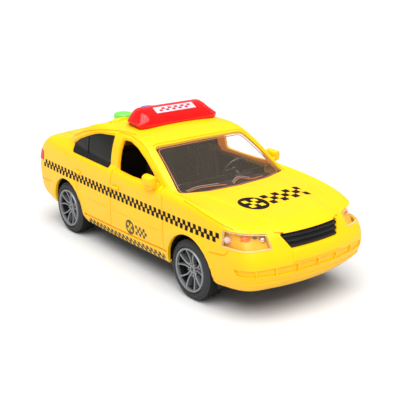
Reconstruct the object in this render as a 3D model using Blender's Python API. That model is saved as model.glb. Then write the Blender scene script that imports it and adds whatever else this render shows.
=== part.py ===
"""Friction toy taxi, about 1:20. +X is forward, +Y the car's left, +Z up, the origin on the ground.

The numbers below are millimetres. Every mesh is made in metres through MM.
"""

import math

import bmesh
import bpy
from mathutils import Vector

MM = 0.001

# Wheels and axles
FRONT_X, REAR_X = 66.5, -77.5
AXLE_Z = 18.2
TYRE_R, RIM_R = 18.2, 13.3
TYRE_IN, TYRE_OUT = 33.0, 48.0
AXLE_R = 1.5

# Body skin
SKIN = 1.9
SKIN_KEEP = 0.42
CROWN = 2.2
SIDE_SHARES = (0.06, 0.17, 0.32, 0.46, 0.58, 0.68, 0.78, 0.88)
HEIGHT_SHARES = (0.0, 0.19, 0.46, 0.78, 0.9, 1.0)

# Friction drive: one tooth module and pressure angle for every gear
MODULE = 0.6
PRESSURE = math.radians(25)
WHEEL_TEETH, PINION_TEETH = 28, 12
BACKLASH = 0.13
SPACING = MODULE * (WHEEL_TEETH + PINION_TEETH) / 2
FIRST_AT = (REAR_X + SPACING * math.cos(math.radians(30)), AXLE_Z + SPACING * math.sin(math.radians(30)))
SECOND_AT = (FIRST_AT[0] + SPACING, FIRST_AT[1])
FLY_AT = (
    SECOND_AT[0] + SPACING * math.cos(math.radians(-15)),
    SECOND_AT[1] + SPACING * math.sin(math.radians(-15)),
)

# Roof buttons
BUTTON_X = -44.0
BUTTON_Y = {"green": -20.5, "blue": 0.0, "orange": 20.5}
BUTTON_TOP = {"green": 87.0, "blue": 88.4, "orange": 87.0}
BUTTON_R = 6.4

PLATE_LOW, PLATE_HIGH = 13.0, 15.2

COLOURS = {
    "yellow": ((1.0, 0.62, 0.0), 0.25, 0.0, 1.0),
    "black": ((0.012, 0.012, 0.014), 0.4, 0.0, 1.0),
    "rubber": ((0.03, 0.03, 0.032), 0.7, 0.0, 1.0),
    "silver": ((0.55, 0.56, 0.58), 0.35, 0.6, 1.0),
    "steel": ((0.6, 0.6, 0.62), 0.3, 1.0, 1.0),
    "clear": ((0.9, 0.92, 0.95), 0.05, 0.0, 0.25),
    "smoke": ((0.01, 0.01, 0.012), 0.1, 0.0, 1.0),
    "red_clear": ((0.8, 0.01, 0.01), 0.1, 0.0, 0.8),
    "green": ((0.1, 0.65, 0.08), 0.3, 0.0, 1.0),
    "blue": ((0.03, 0.12, 0.7), 0.3, 0.0, 1.0),
    "orange": ((0.95, 0.2, 0.02), 0.3, 0.0, 1.0),
    "white": ((0.85, 0.85, 0.85), 0.4, 0.0, 1.0),
    "gear": ((0.75, 0.75, 0.7), 0.45, 0.0, 1.0),
    "board": ((0.03, 0.2, 0.08), 0.5, 0.0, 1.0),
}


def clear_scene():
    for obj in list(bpy.data.objects):
        bpy.data.objects.remove(obj)


def material(name, kind):
    rgb, rough, metallic, alpha = COLOURS[kind]
    made = bpy.data.materials.new(name)
    made.use_nodes = True
    shader = made.node_tree.nodes["Principled BSDF"]
    shader.inputs["Base Color"].default_value = (*rgb, 1.0)
    shader.inputs["Roughness"].default_value = rough
    shader.inputs["Metallic"].default_value = metallic
    shader.inputs["Alpha"].default_value = alpha
    return made


def add(name, mesh, kind=None, at=(0, 0, 0)):
    """An object in the scene. With no kind it is a cutter or helper, hidden from renders."""
    obj = bpy.data.objects.new(name, mesh)
    bpy.context.scene.collection.objects.link(obj)
    obj.location = Vector(at) * MM
    if kind is None:
        obj.hide_render = True
        obj.display_type = "WIRE"
    else:
        mesh.materials.append(material(name + "_material", kind))
    return obj


def mesh_of(name, build):
    bm = bmesh.new()
    build(bm)
    bmesh.ops.remove_doubles(bm, verts=bm.verts, dist=1e-6)
    bmesh.ops.recalc_face_normals(bm, faces=bm.faces)
    mesh = bpy.data.meshes.new(name)
    bm.to_mesh(mesh)
    bm.free()
    return mesh


def cut(obj, other, operation="DIFFERENCE"):
    modifier = obj.modifiers.new(operation.title() + str(len(obj.modifiers)), "BOOLEAN")
    modifier.operation = operation
    modifier.solver = "EXACT"
    modifier.object = other
    return obj


def join(obj, other):
    return cut(obj, other, "UNION")


def smooth(obj, degrees=35):
    for face in obj.data.polygons:
        face.use_smooth = True
    obj.data.set_sharp_from_angle(angle=math.radians(degrees))
    return obj


def loft(rings, closed=True):
    """Skin through rings of equal length, with flat caps at both ends."""

    def build(bm):
        rows = [[bm.verts.new(Vector(p) * MM) for p in ring] for ring in rings]
        count = len(rows[0])
        for low, high in zip(rows, rows[1:]):
            for i in range(count):
                j = (i + 1) % count
                bm.faces.new((low[i], low[j], high[j], high[i]))
        if closed:
            bm.faces.new(rows[0][::-1])
            bm.faces.new(rows[-1])

    return mesh_of("loft", build)


def prism(outline, low, high, axis="Z"):
    """An outline pushed along an axis. The outline holds the two other coordinates in XYZ order."""
    places = {
        "X": lambda a, b, c: (c, a, b),
        "Y": lambda a, b, c: (a, c, b),
        "Z": lambda a, b, c: (a, b, c),
    }[axis]
    return loft([[places(a, b, low) for a, b in outline], [places(a, b, high) for a, b in outline]])


def box(low, high):
    (x0, y0, z0), (x1, y1, z1) = low, high
    return prism([(x0, y0), (x1, y0), (x1, y1), (x0, y1)], z0, z1)


def circle(cx, cy, radius, steps, start=0.0):
    turns = [start + 2 * math.pi * i / steps for i in range(steps)]
    return [(cx + radius * math.cos(a), cy + radius * math.sin(a)) for a in turns]


def rod(axis, at, radius, low, high, steps=16):
    return prism(circle(at[0], at[1], radius, steps), low, high, axis)


def lathe(profile, steps, axis="Y"):
    """A closed profile of (radius, along) turned about an axis through the origin."""

    def build(bm):
        rows = []
        for i in range(steps):
            a = 2 * math.pi * i / steps
            row = []
            for radius, along in profile:
                u, v = radius * math.cos(a), radius * math.sin(a)
                place = (u, along, v) if axis == "Y" else (u, v, along)
                row.append(bm.verts.new(Vector(place) * MM))
            rows.append(row)
        count = len(profile)
        for i in range(steps):
            this, following = rows[i], rows[(i + 1) % steps]
            for j in range(count):
                k = (j + 1) % count
                corners = [this[j], this[k], following[k], following[j]]
                if profile[j][0] < 1e-6 and profile[k][0] < 1e-6:
                    continue
                if profile[j][0] < 1e-6:
                    corners = [this[j], this[k], following[k]]
                elif profile[k][0] < 1e-6:
                    corners = [this[j], this[k], following[j]]
                bm.faces.new(corners)

    return mesh_of("lathe", build)


def hull(points):
    """Convex hull of flat points, counter-clockwise."""
    points = sorted(set((round(a, 4), round(b, 4)) for a, b in points))

    def half(run):
        kept = []
        for p in run:
            while len(kept) > 1:
                (ax, ay), (bx, by) = kept[-2], kept[-1]
                if (bx - ax) * (p[1] - ay) - (by - ay) * (p[0] - ax) > 1e-9:
                    break
                kept.pop()
            kept.append(p)
        return kept[:-1]

    return half(points) + half(points[::-1])


def mirrored(outline, side):
    """Flips the second coordinate of an outline drawn for the right side when side is +1."""
    return [(a, -b if side > 0 else b) for a, b in outline]


# ---------------------------------------------------------------- body skin


def along(shares, values, s):
    for i in range(len(shares) - 1):
        if s <= shares[i + 1] or i == len(shares) - 2:
            t = (s - shares[i]) / (shares[i + 1] - shares[i])
            t = min(max(t, 0.0), 1.0)
            return values[i] + (values[i + 1] - values[i]) * t


def body_ring(tail, nose, half, heights, bow, corner, pinch):
    """Half of one level line round the car, from the tail's middle past the right side to the nose's middle."""
    length = nose - tail
    flat = []
    rear_flat = half - pinch[0] - corner[0]
    for k in range(4):
        t = k / 3
        flat.append((tail + bow[0] * t * t, rear_flat * t))
    flat.append((tail + bow[0] + 0.12 * corner[0], rear_flat + 0.93 * corner[0]))
    for s in SIDE_SHARES:
        e = 2 * s - 1
        p = pinch[0] if e < 0 else pinch[1]
        flat.append((tail + s * length, half - p * abs(e) ** 3))
    front_flat = half - pinch[1] - corner[1]
    flat.append((nose - bow[1] - 0.25 * corner[1], front_flat + 0.85 * corner[1]))
    for k in (3, 2, 1, 0):
        t = k / 3
        flat.append((nose - bow[1] * t * t, front_flat * t))
    return [(x, -y, along(HEIGHT_SHARES, heights, (x - tail) / length)) for x, y in flat]


# tail x, nose x, half width, heights from tail to nose, then (rear, front) bow, corner and pinch
RING_TABLE = (
    (-118.5, 116.5, 46.9, (19, 15.0, 15.0, 16.4, 17.0, 17.6), (2.5, 4.5), (8, 13), (2, 3)),
    (-123, 120.6, 48.6, (23, 19.3, 19.8, 20.4, 21.0, 21.8), (2.5, 4.5), (8, 12.5), (1, 2)),
    (-124.6, 123.4, 49.0, (32, 29, 29, 29.5, 29.5, 29.5), (2.5, 4.5), (8, 12.5), (0.6, 1.5)),
    (-124.6, 122.6, 49.4, (42, 37, 36, 36.5, 36.3, 36), (2.5, 4.8), (8, 12), (0.6, 1.5)),
    (-124.2, 119.6, 48.8, (50.5, 43.5, 42.3, 43.2, 42.5, 41.3), (2.5, 5), (8, 11), (0.6, 1.5)),
    (-121.5, 117.6, 48.9, (57, 50.8, 49.5, 50.3, 48.8, 45.8), (3, 6.5), (8, 11), (1.2, 2)),
    (-116.6, 115, 48.8, (62.6, 57.6, 56, 56.7, 54.4, 49.6), (3.5, 8), (9, 11), (2, 2.5)),
    (-111.5, 107.5, 46.4, (66, 62, 60.2, 59.2, 56.9, 52.3), (4, 10), (10, 11), (2.5, 3)),
    (-102, 88, 45.2, (67.6, 63.6, 61.2, 60.0, 57.8, 54.3), (5, 10), (12, 12), (3.0, 3)),
    (-92, 64.5, 44.8, (68.6, 64.8, 62.0, 60.6, 58.7, 56.3), (6, 8), (12, 10), (3.5, 3)),
    (-85.5, 54, 44.9, (69.8, 66.4, 63.2, 62.1, 60.2, 57.4), (7, 7), (11, 8), (3, 2)),
    (-81.5, 50, 44.4, (72.6, 69.6, 65.8, 64.6, 62.6, 60.0), (7, 6), (10.5, 7.5), (3, 1.5)),
    (-65.5, 31.5, 42.8, (80.3, 78.4, 73, 72.4, 71.8, 71.2), (6.5, 3.5), (9, 6.5), (2.5, 1)),
    (-50.5, 14, 40.2, (84.4, 82.8, 80.6, 80.2, 80, 79.6), (6, 1.5), (8.5, 6), (2, 0.8)),
    (-42.5, 6.5, 35.2, (84.8, 84.6, 84, 83.8, 83.4, 82.8), (5, 1.5), (7, 5.5), (2, 1)),
)


def roof_grid(edge):
    """Rows of control points from the centreline to the top ring's long side."""
    tail = edge[0:4]
    side = edge[3:15]
    nose = edge[14:18][::-1]
    last = len(side) - 1
    rows = []
    for i in range(4):
        v = i / 3
        row = []
        for j in range(last + 1):
            u = j / last
            across = Vector((side[j][0], 0, side[j][2])).lerp(Vector(side[j]), v)
            endwise = Vector(tail[i]).lerp(Vector(nose[i]), u)
            low = Vector(tail[0]).lerp(Vector(nose[0]), u)
            high = Vector(side[0]).lerp(Vector(side[last]), u)
            p = endwise + across - low.lerp(high, v)
            if 0 < j < last and i < 3:
                p.z += CROWN * (1 - v * v) * min(1, 3.9 * u * (1 - u))
            row.append(p)
        rows.append(row)
    return rows


def cage_mesh(name):
    """The control cage of the right half of the body, open along the centreline and at the skirt."""
    rings = [body_ring(*row) for row in RING_TABLE]

    def build(bm):
        rows = [[bm.verts.new(Vector(p) * MM) for p in ring] for ring in rings]
        for low, high in zip(rows, rows[1:]):
            for c in range(len(low) - 1):
                bm.faces.new((low[c], low[c + 1], high[c + 1], high[c]))
        grid = roof_grid(rings[-1])
        top = rows[-1]
        last = len(grid[0]) - 1
        made = []
        for i in range(4):
            row = []
            for j in range(last + 1):
                if i == 3:
                    row.append(top[3 + j])
                elif j == 0:
                    row.append(top[i])
                elif j == last:
                    row.append(top[17 - i])
                else:
                    row.append(bm.verts.new(grid[i][j] * MM))
            made.append(row)
        for i in range(3):
            for j in range(last):
                bm.faces.new((made[i][j], made[i + 1][j], made[i + 1][j + 1], made[i][j + 1]))

    return mesh_of(name, build)


def skin(name, kind=None, inner=SKIN, outer=0.0):
    """The whole body surface as a wall: inner mm inside the surface and outer mm outside it."""
    obj = add(name, cage_mesh(name), kind)
    mirror = obj.modifiers.new("Mirror", "MIRROR")
    mirror.use_axis = (False, True, False)
    mirror.merge_threshold = 1e-5
    divide = obj.modifiers.new("Subdivision", "SUBSURF")
    divide.levels = 1
    divide.render_levels = 1
    reduce = obj.modifiers.new("Decimate", "DECIMATE")
    reduce.ratio = SKIN_KEEP
    reduce.use_symmetry = True
    reduce.symmetry_axis = "Y"
    wall = obj.modifiers.new("Solidify", "SOLIDIFY")
    wall.thickness = (inner + outer) * MM
    wall.offset = 2 * outer / (inner + outer) - 1
    wall.use_even_offset = False
    for face in obj.data.polygons:
        face.use_smooth = True
    return obj


# ---------------------------------------------------------------- outlines shared by holes and inserts

WINDSCREEN = [(13.0, -34.4), (13.6, -16.0), (13.6, 16.0), (13.0, 34.4), (48.2, 40.6), (52.8, 23.0), (54.4, 0.0),
              (52.8, -23.0), (48.2, -40.6)]
REAR_SCREEN = [(-54.0, 29.0), (-55.4, 0.0), (-54.0, -29.0), (-77.0, -34.0), (-81.0, -16.0), (-82.0, 0.0),
               (-81.0, 16.0), (-77.0, 34.0)]
FRONT_SIDE = [(-13.2, 59.8), (-13.8, 70.5), (-13.0, 78.8), (-4.6, 79.2), (4.8, 76.8), (15.6, 71.8), (25.2, 65.6),
              (30.2, 60.3), (15.9, 59.4), (2.7, 59.2)]
REAR_SIDE = [(-70.2, 60.2), (-72.4, 66.0), (-63.5, 70.6), (-54.0, 74.1), (-46.0, 76.8), (-38.8, 78.3),
             (-23.0, 79.6), (-22.9, 70.6), (-22.2, 59.0)]
GRILLE = [(-22.0, 46.6), (22.0, 46.6), (17.3, 38.9), (-17.3, 38.9)]
HEADLIGHT_PLAN = [(95.2, -60.0), (95.2, -38.0), (104.0, -28.6), (128.0, -28.6), (128.0, -60.0)]
HEADLIGHT_TOPS = (51.0, 51.0, 49.4, 48.0, 50.2)
TAIL_PLAN = [(-109.0, -60.0), (-112.6, -60.0), (-130.0, -60.0), (-130.0, -33.0), (-114.0, -33.0), (-112.0, -42.0)]
TAIL_LIGHT_LOW, TAIL_LIGHT_HIGH = 46.2, 54.4


def grown(outline, by):
    """The outline moved outwards by a distance, corner by corner."""
    area = sum(a[0] * b[1] - b[0] * a[1] for a, b in zip(outline, outline[1:] + outline[:1]))
    turn = 1 if area > 0 else -1
    moved = []
    count = len(outline)
    for i in range(count):
        here = Vector(outline[i])
        before = (here - Vector(outline[i - 1])).normalized()
        after = (Vector(outline[(i + 1) % count]) - here).normalized()
        n1 = Vector((before.y, -before.x)) * turn
        n2 = Vector((after.y, -after.x)) * turn
        bisector = (n1 + n2).normalized()
        moved.append(tuple(here + bisector * by / max(bisector.dot(n1), 0.4)))
    return moved


def window_cutter(name, outline, axis, low, high, by=0.0):
    return add(name, prism(grown(outline, by), low, high, axis))


def headlight_cutter(name, side, by=0.0):
    plan = grown(HEADLIGHT_PLAN, by)
    bottom = [(x, -y if side > 0 else y, 41.5 - by) for x, y in plan]
    top = [(x, -y if side > 0 else y, z + by) for (x, y), z in zip(plan, HEADLIGHT_TOPS)]
    return add(name, loft([bottom, top]))


def tail_cutter(name, side, by=0.0):
    plan = grown(TAIL_PLAN, by)
    bottom = [(x, -y if side > 0 else y, TAIL_LIGHT_LOW - by) for x, y in plan]
    tips = (-3.0, -0.5, 0.0, 0.0, 0.0, -1.0)
    top = [(x, -y if side > 0 else y, TAIL_LIGHT_HIGH + by + t) for (x, y), t in zip(plan, tips)]
    return add(name, loft([bottom, top]))


def arch_outline(cx, radius, flare):
    """Wheel-arch opening in x and z: an arc with straight or flared legs down past the skirt."""
    points = []
    first, last = flare
    for i in range(17):
        a = math.radians(180 * i / 16)
        r = radius + (cx - last[0] - radius) * max(-math.cos(a), 0) ** 2
        points.append((cx + r * math.cos(a), AXLE_Z + r * math.sin(a)))
    return [(first[1], 5.0), (first[0], AXLE_Z - 2.0)] + points + [(last[0], AXLE_Z - 2.0), (last[1], 5.0)]


FRONT_ARCH = arch_outline(FRONT_X, 21.6, ((FRONT_X + 23.6, FRONT_X + 32.0), (FRONT_X - 20.8, FRONT_X - 20.0)))
REAR_ARCH = arch_outline(REAR_X, 21.6, ((REAR_X + 24.0, REAR_X + 38.0), (REAR_X - 19.1, REAR_X - 19.1)))


def body_shell():
    shell = skin("body_shell", "yellow")
    cut(shell, window_cutter("cut_windscreen", WINDSCREEN, "Z", 50, 95))
    cut(shell, window_cutter("cut_rear_screen", REAR_SCREEN, "Z", 60, 95))
    for side, tag in ((-1, "right"), (1, "left")):
        low, high = sorted((side * 33.0, side * 60.0))
        cut(shell, window_cutter("cut_front_side_" + tag, FRONT_SIDE, "Y", low, high))
        cut(shell, window_cutter("cut_rear_side_" + tag, REAR_SIDE, "Y", low, high))
        cut(shell, headlight_cutter("cut_headlight_" + tag, side))
        cut(shell, tail_cutter("cut_tail_" + tag, side))
        low, high = sorted((side * 32.0, side * 60.0))
        cut(shell, add("cut_front_arch_" + tag, prism(FRONT_ARCH, low, high, "Y")))
        cut(shell, add("cut_rear_arch_" + tag, prism(REAR_ARCH, low, high, "Y")))
    cut(shell, add("cut_grille", prism(GRILLE, 100, 130, "X")))
    for name, y in BUTTON_Y.items():
        cut(shell, add("cut_button_" + name, rod("Z", (BUTTON_X, y), BUTTON_R + 0.35, 76, 95, 20)))
    for tag, x, y, top in (
        ("front_right", 92, -26, 54.2),
        ("front_left", 92, 26, 54.2),
        ("rear_right", -103, -22, 65.4),
        ("rear_left", -103, 22, 65.4),
    ):
        join(shell, add("post_" + tag, rod("Z", (x, y), 3.2, 15.6, top, 12)))
        cut(shell, add("post_hole_" + tag, rod("Z", (x, y), 1.25, 10, 24.0, 10)))
    for tag, y in (("right", -10.2), ("left", 10.2)):
        join(shell, add("board_post_" + tag, rod("Z", (BUTTON_X, y), 1.6, 72.5, 83.0, 10)))
    return shell


def inset_piece(name, kind, cutter):
    """A piece of the body skin kept only inside a cutter, so it follows the body's curve."""
    return cut(skin(name, kind), cutter, "INTERSECT")


def glazing():
    inset_piece("windscreen", "clear", window_cutter("fit_windscreen", WINDSCREEN, "Z", 50, 95, -0.3))
    inset_piece("rear_window", "smoke", window_cutter("fit_rear_screen", REAR_SCREEN, "Z", 60, 95, -0.3))
    for side, tag in ((-1, "right"), (1, "left")):
        low, high = sorted((side * 33.0, side * 60.0))
        fit = window_cutter("fit_rear_side_" + tag, REAR_SIDE, "Y", low, high, -0.3)
        inset_piece("rear_side_window_" + tag, "smoke", fit)


def lamps():
    inset_piece("grille_insert", "black", add("fit_grille", prism(grown(GRILLE, -0.3), 100, 130, "X")))
    for side, tag in ((-1, "right"), (1, "left")):
        inset_piece("headlight_lens_" + tag, "clear", headlight_cutter("fit_headlight_" + tag, side, -0.3))
        inset_piece("tail_light_" + tag, "red_clear", tail_cutter("fit_tail_" + tag, side, -0.3))


# ---------------------------------------------------------------- roof: light bar and buttons

BAR_SECTION = [(-7.2, 83.6), (-6.6, 88.4), (-10.0, 92.0), (-16.8, 95.5), (-21.4, 95.8), (-26.6, 92.6),
               (-29.4, 88.0), (-29.2, 83.6)]
BAR_MIDDLE = (-17.0, 88.0)
SWEEP_X = -12.0
# half length, then the section's width, height and rise there: the ends are hipped like a roof's
BAR_STATIONS = ((30.6, 0.5, 0.42, 1.0), (29.6, 0.72, 0.62, 0.7), (27.2, 0.92, 0.86, 0.2), (23.5, 1.0, 1.0, 0.0),
                (10.0, 1.0, 1.0, 0.0))


def bar_rings(inset=0.0, floor=83.6):
    stations = [(-y, *rest) for y, *rest in BAR_STATIONS] + list(BAR_STATIONS[::-1])
    rings = []
    for y, sx, sz, rise in stations:
        ring = []
        for x, z in BAR_SECTION:
            shrink = 1 - inset / 13.0
            swept = SWEEP_X + (x - SWEEP_X) * sx
            px = BAR_MIDDLE[0] + (swept - BAR_MIDDLE[0]) * shrink
            pz = BAR_MIDDLE[1] + rise + (z - BAR_MIDDLE[1]) * sz - inset * (z > 88.2)
            if z < 84:
                pz = floor + rise
            ring.append((px, y * (1 - inset / 30.6), pz))
        rings.append(ring)
    return rings


def light_bar():
    lens = add("light_bar_lens", loft(bar_rings()), "red_clear")
    cut(lens, add("bar_hollow", loft(bar_rings(1.4, 78.0))))
    cut(lens, skin("roof_gap", inner=3.4, outer=0.35))
    base = add("light_bar_base", box((-26.6, -24, 87.4), (-10.6, 24, 88.4)), "white")
    led = lathe([(0.0, 88.7), (2.4, 88.7), (2.4, 91.0), (1.4, 92.6), (0.0, 93.0)], 12, "Z")
    add("led", led, "white", (-20, 0, 0))
    return base


def light_bar_label():
    low, high = Vector((-10.9, 92.46)), Vector((-16.2, 95.19))
    out = Vector((0.46, 0.89))
    corners = [low + out * 0.12, high + out * 0.12, high + out * 0.62, low + out * 0.62]
    add("light_bar_label", prism_y([tuple(c) for c in corners], -15.5, 15.5), "white")


def prism_y(outline, low, high):
    return prism(outline, low, high, "Y")


def buttons():
    for name, y in BUTTON_Y.items():
        top = BUTTON_TOP[name]
        profile = [
            (0.0, 77.0 - top),
            (1.6, 77.0 - top),
            (1.6, 77.6 - top),
            (7.4, 77.6 - top),
            (7.4, 78.4 - top),
            (BUTTON_R, 78.4 - top),
            (BUTTON_R, -1.3),
            (BUTTON_R - 0.5, -0.5),
            (BUTTON_R - 1.8, -0.1),
            (0.0, 0.0),
        ]
        obj = add("button_" + name, lathe(profile, 20, "Z"), name, (BUTTON_X, y, top))
        smooth(obj)
        switch = add("switch_" + name, box((-3, -3, 72.4), (3, 3, 74.8)), "black", (BUTTON_X, y, 0))
        join(switch, add("plunger_" + name, rod("Z", (0, 0), 1.4, 74.3, 75.6, 10), None, (BUTTON_X, y, 0)))
    add("button_board", box((BUTTON_X - 7, -27, 71.0), (BUTTON_X + 7, 27, 72.2)), "board")


def mirrors():
    for side, tag in ((-1, "right"), (1, "left")):
        head = [
            [(24.6, 46.6, 61.2), (32.0, 46.6, 60.8), (32.4, 46.6, 65.2), (25.2, 46.6, 65.6)],
            [(23.4, 47.4, 60.2), (34.0, 47.4, 59.8), (34.2, 47.4, 66.6), (24.0, 47.4, 67.0)],
            [(23.8, 50.8, 60.6), (33.4, 50.8, 60.4), (33.4, 50.8, 66.2), (24.4, 50.8, 66.4)],
            [(25.4, 52.6, 62.0), (31.4, 52.6, 61.8), (31.4, 52.6, 64.8), (25.8, 52.6, 64.8)],
        ]
        rings = [[(x, side * y, z) for x, y, z in ring] for ring in head]
        obj = add("mirror_" + tag, loft(rings), "yellow")
        foot = [
            [(24.8, 46.2, 53.6), (33.6, 46.2, 58.0), (33.6, 46.2, 63.4), (25.2, 46.2, 63.4)],
            [(25.9, 49.4, 57.0), (30.8, 49.4, 59.0), (31.0, 49.4, 63.8), (25.7, 49.4, 63.8)],
        ]
        rings = [[(x, side * y, z) for x, y, z in ring] for ring in foot]
        join(obj, add("mirror_foot_" + tag, loft(rings)))
        cut(obj, skin("mirror_gap_" + tag, inner=3.4, outer=0.3))


# ---------------------------------------------------------------- inside


def cabin():
    tub = add("cabin_tub", box((-53.5, -42.0, 36.6), (29.0, 42.0, 56.4)), "black")
    cut(tub, add("tub_hollow", box((-52.0, -40.6, 38.0), (27.6, 40.6, 60.0))))
    for side, tag in ((-1, "right"), (1, "left")):
        y0, y1 = sorted((side * 7.0, side * 29.0))
        join(tub, add("cushion_" + tag, box((-3, y0, 37), (19, y1, 43.0))))
        back = [(-3.0, 37.0), (3.0, 37.0), (-4.6, 64.0), (-9.8, 64.0)]
        join(tub, add("seat_back_" + tag, prism(back, y0, y1, "Y")))
        rest = [(-8.6, 62.0), (-4.6, 62.0), (-6.0, 69.6), (-10.0, 69.6)]
        y0, y1 = sorted((side * 12.0, side * 24.0))
        join(tub, add("head_rest_" + tag, prism(rest, y0, y1, "Y")))
    join(tub, add("rear_bench", box((-52.5, -38, 37), (-30, 38, 43.5))))
    back = [(-50.0, 40.0), (-42.0, 40.0), (-46.4, 62.0), (-51.6, 62.0)]
    join(tub, add("rear_back", prism(back, -34, 34, "Y")))
    join(tub, add("parcel_shelf", box((-76.0, -34.0, 55.0), (-50.0, 34.0, 56.2))))
    cut(tub, add("column_notch", box((27.0, 16.5, 51.0), (32.0, 23.5, 60.0))))
    dash = [(29.5, 40.0), (50.0, 40.0), (51.0, 53.0), (44.0, 54.4), (33.0, 54.8), (29.5, 52.6)]
    add("dashboard", prism(dash, -39.0, 39.0, "Y"), "black")


def steering_wheel():
    """A rim, a hub with three spokes and a column that ends just short of the dashboard."""
    profile = [(8.4, -0.7), (9.9, -0.7), (9.9, 0.7), (8.4, 0.7)]
    wheel = add("steering_wheel", lathe(profile, 20, "Z"), "black")
    hub = add("wheel_hub", rod("Z", (0, 0), 2.6, -1.0, 1.0, 12))
    column = add("wheel_column", rod("Z", (0, 0), 1.3, -5.4, 0.4, 10))
    helpers = [hub, column]
    for i, degrees in enumerate((0, 180, 270)):
        a = math.radians(degrees)
        ends = [Vector((math.cos(a), math.sin(a))) * r for r in (1.0, 9.0)]
        across = Vector((-math.sin(a), math.cos(a))) * 0.9
        outline = [tuple(ends[0] - across), tuple(ends[1] - across), tuple(ends[1] + across), tuple(ends[0] + across)]
        helpers.append(add("wheel_spoke_" + str(i), prism(outline, -0.5, 0.5)))
    for helper in helpers:
        join(wheel, helper)
    for obj in [wheel] + helpers:
        obj.location = Vector((24.4, 20.0, 57.0)) * MM
        obj.rotation_euler = (0, math.radians(-62), 0)


# ---------------------------------------------------------------- chassis and battery box

PLATE_HALF = [(-108, 0), (-108, -24), (-105, -34), (-99.0, -39.5), (-98.4, -31.0), (-56.6, -31.0), (-56.6, -43.6),
              (45.6, -43.6), (45.6, -31.0), (87.4, -31.0), (90.0, -36.5), (97.0, -30.0), (100.0, -18.0), (100.0, 0)]


def liner_outline(cx, radius, low):
    points = [(cx + radius, low)]
    for i in range(9):
        a = math.pi * i / 8
        points.append((cx + radius * math.cos(a), AXLE_Z + radius * math.sin(a)))
    points.append((cx - radius, low))
    return points


def chassis():
    outline = PLATE_HALF + [(x, -y) for x, y in PLATE_HALF[::-1] if y < 0]
    plate = add("chassis", prism(outline, PLATE_LOW, PLATE_HIGH), "black")
    for place, x in (("front", FRONT_X), ("rear", REAR_X)):
        for side, tag in ((-1, "right"), (1, "left")):
            low, high = sorted((side * 30.0, side * 43.4))
            join(plate, add("liner_" + place + tag, prism(liner_outline(x, 22.2, PLATE_LOW), low, high, "Y")))
            low, high = sorted((side * 31.3, side * 50.0))
            cut(plate, add("well_" + place + tag, prism(liner_outline(x, 20.9, 5.0), low, high, "Y")))
    join(plate, add("front_bearing", box((61.5, -30.6, 13.0), (71.5, 30.6, 22.6))))
    cut(plate, add("front_bore", rod("Y", (FRONT_X, AXLE_Z), AXLE_R + 0.12, -50, 50, 16)))
    cut(plate, add("rear_bore", rod("Y", (REAR_X, AXLE_Z), AXLE_R + 0.8, -50, 50, 10)))
    cut(plate, add("drive_opening", box((-91.5, -15.0, 5), (-28.5, 15.0, 20))))
    battery_box(plate)
    join(plate, add("speaker_ring", rod("Z", (0, 25), 12.0, 14.0, 17.6, 18)))
    cut(plate, add("speaker_seat", rod("Z", (0, 25), 10.7, 15.2, 30, 18)))
    for i in range(7):
        a = math.radians(60 * i)
        r = 0.0 if i == 6 else 5.0
        hole = rod("Z", (r * math.cos(a), 25 + r * math.sin(a)), 1.2, 5, 20, 8)
        cut(plate, add("sound_hole_" + str(i), hole))
    for tag, x, y in (("a", -19, 0), ("b", 21, 0)):
        join(plate, add("board_pillar_" + tag, rod("Z", (x, y), 2.0, 14.5, 23.6, 10)))
    for tag, x, y in (("fr", 92, -26), ("fl", 92, 26), ("rr", -103, -22), ("rl", -103, 22)):
        cut(plate, add("screw_hole_" + tag, rod("Z", (x, y), 1.5, 5, 20, 8)))
        cut(plate, add("screw_sink_" + tag, rod("Z", (x, y), 2.9, 5, 14.4, 10)))
    for tag, y in (("right", -17.6), ("left", 17.6)):
        cut(plate, add("drive_hole_" + tag, rod("Z", (-50, y), 0.9, 5, 20, 8)))


def battery_box(plate):
    join(plate, add("cell_block", box((-22.5, -34.5, 13.0), (29.0, -13.2, 21.8))))
    cut(plate, add("cell_pocket", box((-18.6, -31.0, 5.0), (18.6, -17.0, 20.6))))
    cut(plate, add("cover_recess", box((-21.0, -33.0, 5.0), (27.6, -14.8, 14.7))))
    cut(plate, add("cover_screw_hole", rod("Z", (23.4, -24.0), 1.15, 5.0, 20.0, 10)))
    for i, x in enumerate((-12.3, 0.0, 12.3)):
        add("button_cell_" + str(i + 1), rod("Z", (x, -24.0), 5.8, 15.0, 20.2, 20), "steel")
    cover = add("battery_cover", box((-20.7, -32.7, 13.0), (27.3, -15.1, 14.5)), "black")
    cut(cover, add("cover_hole", rod("Z", (23.4, -24.0), 1.35, 5.0, 20.0, 10)))
    cut(cover, add("cover_sink", rod("Z", (23.4, -24.0), 2.5, 5.0, 14.0, 12)))
    screw("battery_cover_screw", 23.4, -24.0, 13.1, 2.2, 0.7, 18.5, 1.0)


def screw(name, x, y, low, head, depth, high, shank=1.0):
    """A pan-head screw that points up, with a slot across its head."""
    profile = [(0.0, 0.0), (head, 0.0), (head, depth), (shank, depth), (shank, high - low), (0.0, high - low)]
    obj = add(name, lathe(profile, 8, "Z"), "steel", (x, y, low))
    slot = add(name + "_slot", box((-head - 1, -0.3, -1), (head + 1, 0.3, 0.35)), None, (x, y, low))
    cut(obj, slot)
    return obj


def body_screws():
    for tag, x, y in (
        ("front_right", 92, -26),
        ("front_left", 92, 26),
        ("rear_right", -103, -22),
        ("rear_left", -103, 22),
    ):
        screw("body_screw_" + tag, x, y, 13.1, 2.6, 1.1, 22.5, 1.1)


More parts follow.
